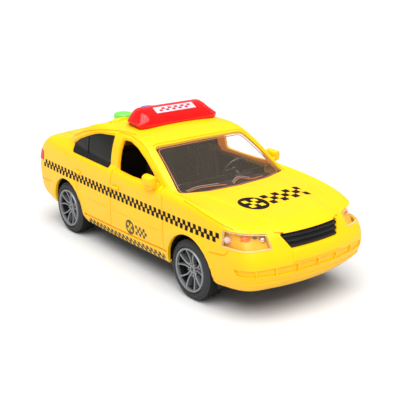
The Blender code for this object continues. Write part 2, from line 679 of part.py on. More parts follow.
def electronics():
    board = add("sound_board", box((-22, -11, 23.9), (24, 11, 25.1)), "board")
    join(board, add("chip", rod("Z", (2, 0), 4.5, 24.8, 26.4, 12)))
    join(board, add("capacitor", rod("Z", (16, -5), 2.5, 24.8, 31.0, 12)))
    cone = [(0.0, 15.5), (10.2, 15.5), (10.2, 17.2), (7.4, 18.4), (5.0, 20.6), (0.0, 20.6)]
    add("speaker", lathe(cone, 24, "Z"), "black", (0, 25, 0))


# ---------------------------------------------------------------- wheels


def wheel_spokes(rim, x, side, tag):
    """Five pairs of raised spokes on the dished face."""
    low, high = sorted((side * 44.0, side * 47.2))
    for i in range(5):
        for lean in (-1, 1):
            a = math.radians(90 + 72 * i)
            out = Vector((math.cos(a), math.sin(a)))
            across = Vector((-out.y, out.x))
            inner = out * 2.2 + across * lean * 1.3
            outer = out * 11.4 + across * lean * 3.3
            normal = Vector((-(outer - inner).y, (outer - inner).x)).normalized() * 0.75
            outline = [inner - normal, outer - normal, outer + normal, inner + normal]
            name = "spoke_" + tag + str(i) + ("a" if lean < 0 else "b")
            helper = add(name, prism([tuple(p) for p in outline], low, high, "Y"), None, (x, 0, AXLE_Z))
            join(rim, helper)


def wheels():
    for place, x in (("front", FRONT_X), ("rear", REAR_X)):
        for side, tag in ((-1, "right"), (1, "left")):
            tread = [
                (RIM_R + 0.1, TYRE_IN),
                (TYRE_R - 1.2, TYRE_IN),
                (TYRE_R, TYRE_IN + 1.6),
                (TYRE_R, TYRE_OUT - 2.0),
                (TYRE_R - 0.7, TYRE_OUT - 0.5),
                (15.6, TYRE_OUT),
                (RIM_R + 0.1, TYRE_OUT - 0.5),
            ]
            tread = [(r, side * y) for r, y in tread]
            tyre = add("tyre_" + place + "_" + tag, lathe(tread, 26), "rubber", (x, 0, AXLE_Z))
            smooth(tyre)
            dish = [
                (1.56, 36.5),
                (4.0, 36.5),
                (4.4, 42.9),
                (11.7, 43.4),
                (11.7, 34.4),
                (RIM_R, 34.4),
                (RIM_R, 48.2),
                (12.2, 48.4),
                (11.2, 44.8),
                (3.2, 44.8),
                (2.8, 48.0),
                (0.0, 48.0),
                (0.0, 44.4),
                (1.56, 44.4),
            ]
            dish = [(r, side * y) for r, y in dish]
            rim = add("rim_" + place + "_" + tag, lathe(dish, 22), "silver", (x, 0, AXLE_Z))
            wheel_spokes(rim, x, side, place + tag)
        add(place + "_axle", rod("Y", (0, 0), AXLE_R, -44.0, 44.0, 16), "steel", (x, 0, AXLE_Z))


# ---------------------------------------------------------------- friction drive


def involute(base, radius):
    return math.tan(math.acos(base / radius)) - math.acos(base / radius)


def tooth_outline(teeth, phase):
    """Involute teeth, four points to a tooth flank pair, one tooth centred on the phase angle."""
    pitch = MODULE * teeth / 2
    base = pitch * math.cos(PRESSURE)
    tip = pitch + MODULE
    root = pitch - 1.2 * MODULE
    half = math.pi / (2 * teeth) - BACKLASH / (4 * pitch)
    start = max(base, root) + 0.01
    radii = [start, tip] if teeth == WHEEL_TEETH else [start, start + (tip - start) * 0.5, tip]
    points = []
    for i in range(teeth):
        centre = phase + 2 * math.pi * i / teeth
        flank = []
        for r in radii:
            turn = half + involute(base, pitch) - involute(base, r)
            flank.append((r, turn))
        low = [(root, flank[0][1])] if root < start - 0.02 else []
        for r, turn in low + flank:
            points.append((r * math.cos(centre - turn), r * math.sin(centre - turn)))
        for r, turn in (low + flank)[::-1]:
            points.append((r * math.cos(centre + turn), r * math.sin(centre + turn)))
    return points


def gear_phases():
    """Tooth phases that put a gap of each gear on a tooth of its neighbour, in the XZ plane."""
    lean = [math.radians(30), 0.0, math.radians(-15)]
    phases = {"axle": lean[0]}
    phases["first"] = lean[0] + math.pi + math.pi / PINION_TEETH
    phases["first_wheel"] = lean[1]
    phases["second"] = lean[1] + math.pi + math.pi / PINION_TEETH
    phases["second_wheel"] = lean[2]
    phases["fly"] = lean[2] + math.pi + math.pi / PINION_TEETH
    return phases


def bored(name, obj, at, radius, low, high, steps=14):
    hole = add(name + "_bore", rod("Y", (0, 0), radius, low, high, steps), None, (at[0], 0, at[1]))
    return cut(obj, hole)


def friction_drive():
    phases = gear_phases()
    rear = (REAR_X, AXLE_Z)
    teeth = tooth_outline(WHEEL_TEETH, phases["axle"])
    obj = add("axle_gear", prism(teeth, -8.0, -5.0, "Y"), "gear", (rear[0], 0, rear[1]))
    bored("axle_gear", obj, rear, AXLE_R + 0.05, -12, 0, 16)
    for name, at, small, large, plane in (
        ("first_gear", FIRST_AT, "first", "first_wheel", (-8.2, -3.8, -0.8)),
        ("second_gear", SECOND_AT, "second", "second_wheel", (-4.1, 0.8, 3.8)),
    ):
        start, middle, end = plane
        wheel = tooth_outline(WHEEL_TEETH, phases[large])
        obj = add(name, prism(wheel, middle, end, "Y"), "gear", (at[0], 0, at[1]))
        pinion = tooth_outline(PINION_TEETH, phases[small])
        join(obj, add(name + "_pinion", prism(pinion, start, middle + 0.5, "Y"), None, (at[0], 0, at[1])))
        bored(name, obj, at, 1.09, -15, 15, 12)
        add(name + "_shaft", rod("Y", (0, 0), 1.0, -11.9, 12.4, 12), "steel", (at[0], 0, at[1]))
    at = FLY_AT
    pinion = tooth_outline(PINION_TEETH, phases["fly"])
    obj = add("flywheel_pinion", prism(pinion, 0.5, 4.1, "Y"), "steel", (at[0], 0, at[1]))
    bored("flywheel_pinion", obj, at, 1.05, -15, 15)
    profile = [(1.05, 5.0), (3.0, 5.0), (3.0, 6.2), (7.6, 6.2), (8.0, 5.6), (10.5, 5.6), (10.5, 10.8), (1.05, 10.8)]
    smooth(add("flywheel", lathe(profile, 24), "steel", (at[0], 0, at[1])))
    add("flywheel_shaft", rod("Y", (0, 0), 1.0, -11.9, 12.4, 12), "steel", (at[0], 0, at[1]))


def case_outline(by):
    points = []
    for at, radius in (((REAR_X, AXLE_Z), 9.8), (FIRST_AT, 9.8), (SECOND_AT, 9.8), (FLY_AT, 11.2)):
        points += circle(at[0], at[1], radius + by, 16)
    return hull(points)


def gearbox():
    outer, inner = case_outline(1.3), case_outline(0.0)
    for tag, low, high, hollow, ear in (
        ("right", -12.2, -0.1, (-11.0, 1.0), (-20.0, -11.6)),
        ("left", 0.1, 12.7, (-1.0, 11.5), (12.0, 20.0)),
    ):
        case = add("gearbox_case_" + tag, prism(outer, low, high, "Y"), "black")
        cut(case, add("case_hollow_" + tag, prism(inner, hollow[0], hollow[1], "Y")))
        join(case, add("case_ear_" + tag, box((-53.0, ear[0], 15.5), (-47.0, ear[1], 17.0))))
        cut(case, add("case_hollow_again_" + tag, prism(inner, hollow[0], hollow[1], "Y")))
        y = -17.6 if tag == "right" else 17.6
        cut(case, add("ear_hole_" + tag, rod("Z", (-50, y), 1.2, 10, 20, 10)))
        cut(case, add("case_axle_hole_" + tag, rod("Y", (REAR_X, AXLE_Z), AXLE_R + 0.12, -20, 20, 16)))
        for name, at, radius in (("first", FIRST_AT, 1.05), ("second", SECOND_AT, 1.05), ("fly", FLY_AT, 1.1)):
            cut(case, add("case_" + name + "_hole_" + tag, rod("Y", at, radius, -20, 20, 12)))
        down_screw("gearbox_screw_" + tag, -50, y)


def down_screw(name, x, y):
    profile = [(0.0, 0.0), (0.8, 0.6), (0.8, 4.2), (2.0, 4.2), (2.0, 5.0), (1.4, 5.5), (0.0, 5.6)]
    obj = add(name, lathe(profile, 8, "Z"), "steel", (x, y, 13.0))
    slot = add(name + "_slot", box((-4, -0.3, 5.1), (4, 0.3, 7)), None, (x, y, 13.0))
    cut(obj, slot)


def main():
    clear_scene()
    body_shell()
    glazing()
    lamps()
    light_bar()
    light_bar_label()
    buttons()
    mirrors()
    cabin()
    steering_wheel()
    chassis()
    body_screws()
    electronics()
    wheels()
    friction_drive()
    gearbox()


main()
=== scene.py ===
"""Looks of the friction toy taxi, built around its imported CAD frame.

Lengths are millimetres and become metres through MM. +X is forward, +Y the car's left, +Z up.
"""

import math
from functools import partial

import bmesh
import bpy
import numpy as np
from mathutils import Matrix, Vector
from mathutils.bvhtree import BVHTree


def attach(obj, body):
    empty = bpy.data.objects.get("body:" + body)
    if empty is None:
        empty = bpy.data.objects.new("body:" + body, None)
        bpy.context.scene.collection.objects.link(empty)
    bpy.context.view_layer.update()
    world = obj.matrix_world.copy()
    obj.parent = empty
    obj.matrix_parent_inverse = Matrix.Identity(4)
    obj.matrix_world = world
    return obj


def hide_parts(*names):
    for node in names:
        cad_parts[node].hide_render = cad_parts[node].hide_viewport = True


MM = 0.001

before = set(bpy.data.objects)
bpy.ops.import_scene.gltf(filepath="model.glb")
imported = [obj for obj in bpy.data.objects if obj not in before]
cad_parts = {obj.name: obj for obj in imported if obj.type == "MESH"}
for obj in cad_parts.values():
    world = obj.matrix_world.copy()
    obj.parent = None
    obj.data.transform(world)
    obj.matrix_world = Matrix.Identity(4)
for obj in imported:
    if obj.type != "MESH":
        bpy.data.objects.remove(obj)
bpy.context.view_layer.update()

# Places shared with the frame
FRONT_X, REAR_X, AXLE_Z = 66.5, -77.5, 18.2
BUTTON_X = -44.0
BUTTONS = {"green": (-20.5, 88.6), "blue": (0.0, 90.0), "orange": (20.5, 88.6)}
CAR = "car"
SIDES = ((-1, "right"), (1, "left"))

# Body surface: the same control cage as the frame's shell, divided more finely
CROWN = 2.2
SURFACE_LEVELS = 3
SIDE_SHARES = (0.06, 0.17, 0.32, 0.46, 0.58, 0.68, 0.78, 0.88)
HEIGHT_SHARES = (0.0, 0.19, 0.46, 0.78, 0.9, 1.0)
# tail x, nose x, half width, heights from tail to nose, then (rear, front) bow, corner and pinch
RING_TABLE = (
    (-118.5, 116.5, 46.9, (19, 15.0, 15.0, 16.4, 17.0, 17.6), (2.5, 4.5), (8, 13), (2, 3)),
    (-123, 120.6, 48.6, (23, 19.3, 19.8, 20.4, 21.0, 21.8), (2.5, 4.5), (8, 12.5), (1, 2)),
    (-124.6, 123.4, 49.0, (32, 29, 29, 29.5, 29.5, 29.5), (2.5, 4.5), (8, 12.5), (0.6, 1.5)),
    (-124.6, 122.6, 49.4, (42, 37, 36, 36.5, 36.3, 36), (2.5, 4.8), (8, 12), (0.6, 1.5)),
    (-124.2, 119.6, 48.8, (50.5, 43.5, 42.3, 43.2, 42.5, 41.3), (2.5, 5), (8, 11), (0.6, 1.5)),
    (-121.5, 117.6, 48.9, (57, 50.8, 49.5, 50.3, 48.8, 45.8), (3, 6.5), (8, 11), (1.2, 2)),
    (-116.6, 115, 48.8, (62.6, 57.6, 56, 56.7, 54.4, 49.6), (3.5, 8), (9, 11), (2, 2.5)),
    (-111.5, 107.5, 46.4, (66, 62, 60.2, 59.2, 56.9, 52.3), (4, 10), (10, 11), (2.5, 3)),
    (-102, 88, 45.2, (67.6, 63.6, 61.2, 60.0, 57.8, 54.3), (5, 10), (12, 12), (3.0, 3)),
    (-92, 64.5, 44.8, (68.6, 64.8, 62.0, 60.6, 58.7, 56.3), (6, 8), (12, 10), (3.5, 3)),
    (-85.5, 54, 44.9, (69.8, 66.4, 63.2, 62.1, 60.2, 57.4), (7, 7), (11, 8), (3, 2)),
    (-81.5, 50, 44.4, (72.6, 69.6, 65.8, 64.6, 62.6, 60.0), (7, 6), (10.5, 7.5), (3, 1.5)),
    (-65.5, 31.5, 42.8, (80.3, 78.4, 73, 72.4, 71.8, 71.2), (6.5, 3.5), (9, 6.5), (2.5, 1)),
    (-50.5, 14, 40.2, (84.4, 82.8, 80.6, 80.2, 80, 79.6), (6, 1.5), (8.5, 6), (2, 0.8)),
    (-42.5, 6.5, 35.2, (84.8, 84.6, 84, 83.8, 83.4, 82.8), (5, 1.5), (7, 5.5), (2, 1)),
)

# Outlines of the openings: x and y from above, x and z from the side, y and z from the front
WINDSCREEN = [(13.0, -34.4), (13.6, -16.0), (13.6, 16.0), (13.0, 34.4), (48.2, 40.6), (52.8, 23.0),
              (54.4, 0.0), (52.8, -23.0), (48.2, -40.6)]
REAR_SCREEN = [(-54.0, 29.0), (-55.4, 0.0), (-54.0, -29.0), (-77.0, -34.0), (-81.0, -16.0), (-82.0, 0.0),
               (-81.0, 16.0), (-77.0, 34.0)]
FRONT_SIDE = [(-13.2, 59.8), (-13.8, 70.5), (-13.0, 78.8), (-4.6, 79.2), (4.8, 76.8), (15.6, 71.8),
              (25.2, 65.6), (30.2, 60.3), (15.9, 59.4), (2.7, 59.2)]
REAR_SIDE = [(-70.2, 60.2), (-72.4, 66.0), (-63.5, 70.6), (-54.0, 74.1), (-46.0, 76.8), (-38.8, 78.3),
             (-23.0, 79.6), (-22.9, 70.6), (-22.2, 59.0)]
GRILLE = [(-22.0, 48.0), (22.0, 48.0), (17.3, 40.3), (-17.3, 40.3)]
HEADLIGHT_PLAN = [(95.2, -60.0), (95.2, -38.0), (104.0, -28.6), (128.0, -28.6), (128.0, -60.0)]
HEADLIGHT_LOW = 41.5
HEADLIGHT_TOPS = (51.0, 51.0, 49.4, 48.0, 50.2)
TAIL_PLAN = [(-109.0, -60.0), (-112.6, -60.0), (-130.0, -60.0), (-130.0, -33.0), (-114.0, -33.0),
             (-112.0, -42.0)]
TAIL_LOW, TAIL_HIGH = 46.2, 54.4
TAIL_TIPS = (-3.0, -0.5, 0.0, 0.0, 0.0, -1.0)
SIDE_CORNER = 1.8
ARCH_R = 21.6
FIT = 0.25  # gap round a piece that sits in an opening


# ---- materials


def node_of(tree, kind, **values):
    made = tree.nodes.new(kind)
    for name, value in values.items():
        made.inputs[name].default_value = value
    return made


GLOSS_SWING = 0.06
COAT_ROUGHNESS = 0.06


def material(name, rgb, rough, grain, bump, mottle=0.05, specular=0.5, metallic=0.0, alpha=1.0, coat=0.0):
    """A moulded or metal surface: slight colour drift, uneven gloss and a fine skin texture."""
    made = bpy.data.materials.new(name)
    made.use_nodes = True
    tree = made.node_tree
    link = tree.links.new
    shader = tree.nodes["Principled BSDF"]
    settings = {"Metallic": metallic, "Alpha": alpha, "Coat Weight": coat, "Coat Roughness": COAT_ROUGHNESS,
                "Specular IOR Level": specular}
    for setting, value in settings.items():
        shader.inputs[setting].default_value = value
    place = tree.nodes.new("ShaderNodeTexCoord")
    drift = node_of(tree, "ShaderNodeTexNoise", Scale=45.0, Detail=3.0)
    link(place.outputs["Object"], drift.inputs["Vector"])
    ramp = tree.nodes.new("ShaderNodeValToRGB")
    for end, position, shade in zip(ramp.color_ramp.elements, (0.3, 0.7), (1 - mottle, 1 + mottle)):
        end.position = position
        end.color = (*[min(c * shade, 1) for c in rgb], 1)
    link(drift.outputs["Fac"], ramp.inputs["Fac"])
    link(ramp.outputs["Color"], shader.inputs["Base Color"])
    fine = node_of(tree, "ShaderNodeTexNoise", Scale=grain, Detail=4.0)
    link(place.outputs["Object"], fine.inputs["Vector"])
    swing = {"To Min": max(rough - GLOSS_SWING, 0.02), "To Max": rough + GLOSS_SWING}
    gloss = node_of(tree, "ShaderNodeMapRange", **swing)
    link(fine.outputs["Fac"], gloss.inputs["Value"])
    link(gloss.outputs["Result"], shader.inputs["Roughness"])
    skin = node_of(tree, "ShaderNodeBump", Strength=bump, Distance=0.0001)
    link(fine.outputs["Fac"], skin.inputs["Height"])
    link(skin.outputs["Normal"], shader.inputs["Normal"])
    return made


# look: slot, then material's values in order: name, colour, roughness, grain, bump, mottle, specular,
# metallic, alpha and coat
FINISHES = {
    "yellow": ("yellow_plastic", "taxi_yellow", (1.0, 0.54, 0.003), 0.34, 500, 0.05, 0.02, 0.25),
    # painted glow: an orange, self-lit copy of the yellow plastic for the inside of the pillars
    "painted_glow": ("yellow_plastic", "yellow_lit_through", (1.0, 0.36, 0.006), 0.5, 500, 0.05, 0.02, 0.1),
    "yellow_print": ("yellow_plastic", "print_yellow", (1.0, 0.6, 0.006), 0.45, 500, 0.05, 0.02, 0.2),
    "black_print": ("black_plastic", "print_black", (0.006, 0.0055, 0.005), 0.6, 1500, 0.1, 0.2, 0.12),
    "grey_print": ("black_plastic", "print_grey", (0.11, 0.085, 0.03), 0.55, 1500, 0.1, 0.3, 0.15),
    "black": ("black_plastic", "black_plastic", (0.007, 0.007, 0.007), 0.4, 1400, 0.35, 0.15, 0.3),
    "cabin": ("black_plastic", "cabin_plastic", (0.012, 0.01, 0.008), 0.55, 1100, 0.5, 0.15, 0.25),
    "smoke": ("smoke_plastic", "smoke_window", (0.014, 0.014, 0.012), 0.32, 600, 0.04, 0.1, 0.1),
    "rubber": ("tyre_rubber", "tyre_rubber", (0.034, 0.034, 0.036), 0.66, 1600, 0.5, 0.12, 0.3),
    # painted shade: the tread is a darker copy of the same tyre rubber
    "tread": ("tyre_rubber", "tyre_tread", (0.012, 0.012, 0.013), 0.7, 1600, 0.5, 0.12, 0.2),
    "silver": ("silver_plastic", "rim_silver", (0.27, 0.28, 0.29), 0.34, 2200, 0.1, 0.06, 0.5, 0.5),
    "pocket": ("black_plastic", "rim_pocket", (0.014, 0.014, 0.015), 0.55, 1400, 0.3, 0.15, 0.25),
    "steel": ("steel", "steel", (0.6, 0.6, 0.62), 0.28, 2600, 0.12, 0.05, 0.5, 1.0),
    "clear": ("clear_plastic", "clear_plastic", (0.28, 0.23, 0.18), 0.08, 500, 0.02, 0.05, 0.35, 0.0, 0.08),
    "lamp_clear": ("clear_plastic", "lamp_clear", (1.0, 0.55, 0.15), 0.06, 500, 0.02, 0.05, 0.35, 0.0, 0.08),
    # partly painted highlight: the clear ridge round the headlight is real, its pale tint stands for the
    # light on its edge
    "rim_clear_painted_highlight": ("clear_plastic", "lamp_rim", (1.0, 0.8, 0.5), 0.15, 500, 0.02, 0.05, 0.4, 0.0, 0.3),
    "reflector_red": ("red_clear_plastic", "bar_reflector", (0.6, 0.006, 0.004), 0.3, 900, 0.1),
    "cabin_gloss": ("black_plastic", "wheel_plastic", (0.03, 0.029, 0.028), 0.25, 1100, 0.2, 0.15, 0.5, 0.0,
                    1.0, 0.2),
    "flange": ("clear_plastic", "windscreen_flange", (0.62, 0.2, 0.1), 0.35, 700, 0.05, 0.05, 0.3, 0.0, 0.8),
    "reflector": ("orange_plastic", "lamp_reflector", (1.0, 0.5, 0.02), 0.26, 900, 0.1, 0.05, 0.3),
    "amber": ("orange_plastic", "lamp_amber", (0.95, 0.14, 0.008), 0.16, 900, 0.05),
    "chrome": ("steel", "lamp_chrome", (0.8, 0.8, 0.82), 0.12, 2200, 0.05, 0.05, 0.5, 1.0),
    "red_clear": ("red_clear_plastic", "red_clear", (0.8, 0.004, 0.003), 0.12, 500, 0.02, 0.05, 0.4,
                  0.0, 0.88),
    "red": ("red_clear_plastic", "red_lens", (0.62, 0.008, 0.008), 0.2, 900, 0.06, 0.05, 0.3),
    "red_print": ("red_clear_plastic", "print_red", (0.5, 0.01, 0.03), 0.45, 1500, 0.1),
    "wiper": ("clear_plastic", "wiper_ridge", (0.42, 0.38, 0.34), 0.3, 700, 0.05, 0.05, 0.3, 0.0, 0.8),
    "label": ("white_plastic", "label_film", (0.74, 0.56, 0.62), 0.35, 900, 0.05),
    "green": ("green_plastic", "green_plastic", (0.16, 0.72, 0.07), 0.3, 700, 0.08, 0.05, 0.5, 0.0, 1.0, 0.2),
    "blue": ("blue_plastic", "blue_plastic", (0.06, 0.13, 0.72), 0.3, 700, 0.08, 0.05, 0.5, 0.0, 1.0, 0.2),
    "orange": ("orange_plastic", "orange_plastic", (0.95, 0.24, 0.02), 0.3, 700, 0.08, 0.05, 0.5, 0.0,
               1.0, 0.2),
    "gear": ("gear_plastic", "gear_plastic", (0.72, 0.71, 0.64), 0.4, 900, 0.2),
    "board": ("circuit_board", "circuit_board", (0.02, 0.17, 0.06), 0.35, 1800, 0.2, 0.2),
}
LOOKS = {look: material(*row[1:]) for look, row in FINISHES.items()}

# painted glow: an orange emission stands in for daylight shining through the thin yellow plastic, seen from
# inside
PAINTED_GLOW = LOOKS["painted_glow"].node_tree.nodes["Principled BSDF"]
PAINTED_GLOW.inputs["Emission Color"].default_value = (1.0, 0.26, 0.004, 1.0)
PAINTED_GLOW.inputs["Emission Strength"].default_value = 0.35


# ---- mesh helpers


MERGE = 1e-7  # metres
ON_AXIS = 1e-6


def obj_of(name, data):
    obj = bpy.data.objects.new(name, data)
    bpy.context.scene.collection.objects.link(obj)
    return obj
    return obj


def drop(obj):
    mesh = obj.data
    bpy.data.objects.remove(obj)
    bpy.data.meshes.remove(mesh)


def bake(obj):
    """Replaces the object's mesh with what its modifiers make of it."""
    graph = bpy.context.evaluated_depsgraph_get()
    mesh = bpy.data.meshes.new_from_object(obj.evaluated_get(graph))
    obj.modifiers.clear()
    old = obj.data
    obj.data = mesh
    bpy.data.meshes.remove(old)
    return obj


def modify(obj, kind, **settings):
    """Adds a modifier with these settings, for bake to apply."""
    modifier = obj.modifiers.new(kind.lower(), kind)
    for name, value in settings.items():
        setattr(modifier, name, value)
    return obj


def from_bmesh(name, bm):
    bmesh.ops.remove_doubles(bm, verts=bm.verts, dist=MERGE)
    bmesh.ops.recalc_face_normals(bm, faces=bm.faces)
    mesh = bpy.data.meshes.new(name)
    bm.to_mesh(mesh)
    bm.free()
    return mesh


def finish(obj, look, body=CAR, angle=32, replaces=()):
    """Gives a piece its finish, smooth shading with sharp edges, its body and the nodes it stands for."""
    obj.data.materials.clear()
    obj.data.materials.append(LOOKS[look])
    for face in obj.data.polygons:
        face.material_index = 0
        face.use_smooth = True
    obj.data.set_sharp_from_angle(angle=math.radians(angle))
    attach(obj, body)
    if replaces:
        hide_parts(*replaces)
    return obj


def boolean(obj, cutter, operation="DIFFERENCE"):
    bake(modify(obj, "BOOLEAN", operation=operation, solver="MANIFOLD", object=cutter))
    drop(cutter)
    return obj


def bevel(obj, width, segments=2, angle=35):
    limit = math.radians(angle)
    return bake(modify(obj, "BEVEL", width=width * MM, segments=segments, limit_method="ANGLE",
                       angle_limit=limit))


def subdivide(obj):
    return bake(modify(obj, "SUBSURF", levels=1, render_levels=1))


def quads(bm, rows, wrap=False, flip=False):
    """Faces between neighbouring rows of vertices; wrap also joins each row's end to its start."""
    for low, high in zip(rows, rows[1:]):
        count = len(low)
        for i in range(count if wrap else count - 1):
            j = (i + 1) % count
            face = (low[i], low[j], high[j], high[i])
            bm.faces.new(face[::-1] if flip else face)


def loft(name, rings, loop=False):
    """Skin through rings of equal length. Its ends are capped, or joined with loop."""
    bm = bmesh.new()
    rows = [[bm.verts.new(Vector(p) * MM) for p in ring] for ring in rings]
    quads(bm, rows + rows[:1] if loop else rows, wrap=True)
    if not loop:
        bm.faces.new(rows[0][::-1])
        bm.faces.new(rows[-1])
    return obj_of(name, from_bmesh(name, bm))


def prism(name, outline, low, high, axis="Z"):
    places = {
        "X": lambda a, b, c: (c, a, b),
        "Y": lambda a, b, c: (a, c, b),
        "Z": lambda a, b, c: (a, b, c),
    }[axis]
    return loft(name, [[places(a, b, end) for a, b in outline] for end in (low, high)])


def box(name, low, high):
    (x0, y0, z0), (x1, y1, z1) = low, high
    return prism(name, [(x0, y0), (x1, y0), (x1, y1), (x0, y1)], z0, z1)


def circle(centre, radius, steps):
    turns = [2 * math.pi * i / steps for i in range(steps)]
    return [(centre[0] + radius * math.cos(a), centre[1] + radius * math.sin(a)) for a in turns]


def lathe(name, profile, steps, axis="Y", at=(0, 0, 0)):
    """A closed profile of (radius, along) turned about an axis through a point."""
    bm = bmesh.new()
    origin = Vector(at)
    rows = []
    for i in range(steps):
        a = 2 * math.pi * i / steps
        row = []
        for radius, along in profile:
            u, v = radius * math.cos(a), radius * math.sin(a)
            place = {"Y": (u, along, v), "Z": (u, v, along), "X": (along, u, v)}[axis]
            row.append(bm.verts.new((Vector(place) + origin) * MM))
        rows.append(row)
    count = len(profile)
    for this, following in zip(rows, rows[1:] + rows[:1]):
        for j in range(count):
            k = (j + 1) % count
            starts_on_axis, ends_on_axis = profile[j][0] < ON_AXIS, profile[k][0] < ON_AXIS
            corners = [this[j], this[k], following[k], following[j]]
            if starts_on_axis and ends_on_axis:
                continue
            if starts_on_axis:
                corners.remove(following[j])
            elif ends_on_axis:
                corners.remove(following[k])
            bm.faces.new(corners)
    return obj_of(name, from_bmesh(name, bm))


def join(name, objects):
    """One object out of several, which may overlap."""
    bm = bmesh.new()
    for obj in objects:
        obj.data.transform(obj.matrix_world)
        bm.from_mesh(obj.data)
        drop(obj)
    mesh = bpy.data.meshes.new(name)
    bm.to_mesh(mesh)
    bm.free()
    return obj_of(name, mesh)


def grown(outline, by):
    """The outline moved outwards by a distance, corner by corner."""
    area = sum(a[0] * b[1] - b[0] * a[1] for a, b in zip(outline, outline[1:] + outline[:1]))
    turn = 1 if area > 0 else -1
    moved = []
    count = len(outline)
    for i in range(count):
        here = Vector(outline[i])
        before = (here - Vector(outline[i - 1])).normalized()
        after = (Vector(outline[(i + 1) % count]) - here).normalized()
        n1 = Vector((before.y, -before.x)) * turn
        n2 = Vector((after.y, -after.x)) * turn
        bisector = (n1 + n2).normalized()
        moved.append(tuple(here + bisector * by / max(bisector.dot(n1), 0.4)))
    return moved


def rounded(outline, radius, steps=4):
    """The outline with every corner turned into a short curve that starts a radius before it."""
    points = []
    count = len(outline)
    for i in range(count):
        here = Vector(outline[i])
        before, after = Vector(outline[i - 1]) - here, Vector(outline[(i + 1) % count]) - here
        a = here + before.normalized() * min(radius, before.length * 0.45)
        b = here + after.normalized() * min(radius, after.length * 0.45)
        for k in range(steps + 1):
            t = k / steps
            points.append(tuple(a * (1 - t) ** 2 + here * 2 * t * (1 - t) + b * t * t))
    return points


def spline(points, spacing=1.5):
    """Points on a Catmull-Rom curve through the given pairs, about a spacing apart."""
    points = [Vector((a, b, 0)) for a, b in points]
    if len(points) == 2:
        count = max(int((points[1] - points[0]).length / spacing), 1)
        return [points[0].lerp(points[1], i / count) for i in range(count + 1)]
    ends = [2 * points[0] - points[1]] + points + [2 * points[-1] - points[-2]]
    run = []
    for a, b, c, d in zip(ends, ends[1:], ends[2:], ends[3:]):
        count = max(int((c - b).length / spacing), 1)
        bend, twist = 2 * a - 5 * b + 4 * c - d, 3 * b - a - 3 * c + d
        for i in range(count):
            t = i / count
            run.append(0.5 * (2 * b + (c - a) * t + bend * t * t + twist * t ** 3))
    run.append(points[-1])
    return run


def tube(name, points, radius, steps=8, loop=False, normals=None, flat=1.0):
    """A round or flattened rod along a line of points."""
    rings = []
    count = len(points)
    for i, p in enumerate(points):
        ahead = points[(i + 1) % count] if loop or i < count - 1 else points[i]
        behind = points[i - 1] if loop or i > 0 else points[i]
        along = (Vector(ahead) - Vector(behind)).normalized()
        up = Vector(normals[i]) if normals else Vector((0, 0, 1))
        side = along.cross(up)
        if side.length < 1e-3:
            side = along.cross(Vector((0, 1, 0)))
        side.normalize()
        up = side.cross(along).normalized()
        ring = []
        for k in range(steps):
            a = 2 * math.pi * (k + 0.5) / steps
            ring.append(Vector(p) + side * radius * math.cos(a) + up * radius * flat * math.sin(a))
        rings.append(ring)
    return loft(name, rings, loop=loop)


# ---- body surface


def along(shares, values, s):
    for i in range(len(shares) - 1):
        if s <= shares[i + 1] or i == len(shares) - 2:
            t = (s - shares[i]) / (shares[i + 1] - shares[i])
            t = min(max(t, 0.0), 1.0)
            return values[i] + (values[i + 1] - values[i]) * t


def body_ring(tail, nose, half, heights, bow, corner, pinch):
    """Half of one level line round the car, from tail to nose along the right side."""
    length = nose - tail
    flat = []
    rear_flat = half - pinch[0] - corner[0]
    for k in range(4):
        t = k / 3
        flat.append((tail + bow[0] * t * t, rear_flat * t))
    flat.append((tail + bow[0] + 0.12 * corner[0], rear_flat + 0.93 * corner[0]))
    for s in SIDE_SHARES:
        e = 2 * s - 1
        p = pinch[0] if e < 0 else pinch[1]
        flat.append((tail + s * length, half - p * abs(e) ** 3))
    front_flat = half - pinch[1] - corner[1]
    flat.append((nose - bow[1] - 0.25 * corner[1], front_flat + 0.85 * corner[1]))
    for k in (3, 2, 1, 0):
        t = k / 3
        flat.append((nose - bow[1] * t * t, front_flat * t))
    return [(x, -y, along(HEIGHT_SHARES, heights, (x - tail) / length)) for x, y in flat]


def roof_grid(edge):
    """Rows of control points from the centreline to the top ring's long side."""
    tail = edge[0:4]
    side = edge[3:15]
    nose = edge[14:18][::-1]
    last = len(side) - 1
    rows = []
    for i in range(4):
        v = i / 3
        row = []
        for j in range(last + 1):
            u = j / last
            across = Vector((side[j][0], 0, side[j][2])).lerp(Vector(side[j]), v)
            endwise = Vector(tail[i]).lerp(Vector(nose[i]), u)
            low = Vector(tail[0]).lerp(Vector(nose[0]), u)
            high = Vector(side[0]).lerp(Vector(side[last]), u)
            p = endwise + across - low.lerp(high, v)
            if 0 < j < last and i < 3:
                p.z += CROWN * (1 - v * v) * min(1, 3.9 * u * (1 - u))
            row.append(p)
        rows.append(row)
    return rows


def cage_mesh(name):
    """The control cage of the right half of the body, open along the centreline and at the skirt."""
    rings = [body_ring(*row) for row in RING_TABLE]
    bm = bmesh.new()
    rows = [[bm.verts.new(Vector(p) * MM) for p in ring] for ring in rings]
    quads(bm, rows)
    grid = roof_grid(rings[-1])
    top = rows[-1]
    last = len(grid[0]) - 1
    made = []
    for i in range(4):
        row = []
        for j in range(last + 1):
            if i == 3:
                row.append(top[3 + j])
            elif j == 0:
                row.append(top[i])
            elif j == last:
                row.append(top[17 - i])
            else:
                row.append(bm.verts.new(grid[i][j] * MM))
        made.append(row)
    for i in range(3):
        for j in range(last):
            bm.faces.new((made[i][j], made[i + 1][j], made[i + 1][j + 1], made[i][j + 1]))
    return from_bmesh(name, bm)


def ease(value, low, high):
    """0 below low, 1 above high, smooth between."""
    t = np.clip((value - low) / (high - low), 0, 1)
    return t * t * (3 - 2 * t)


LIP_R, LIP_WIDTH, LIP_RISE = 22.8, 2.2, 0.75
BONNET_RISE = 0.8


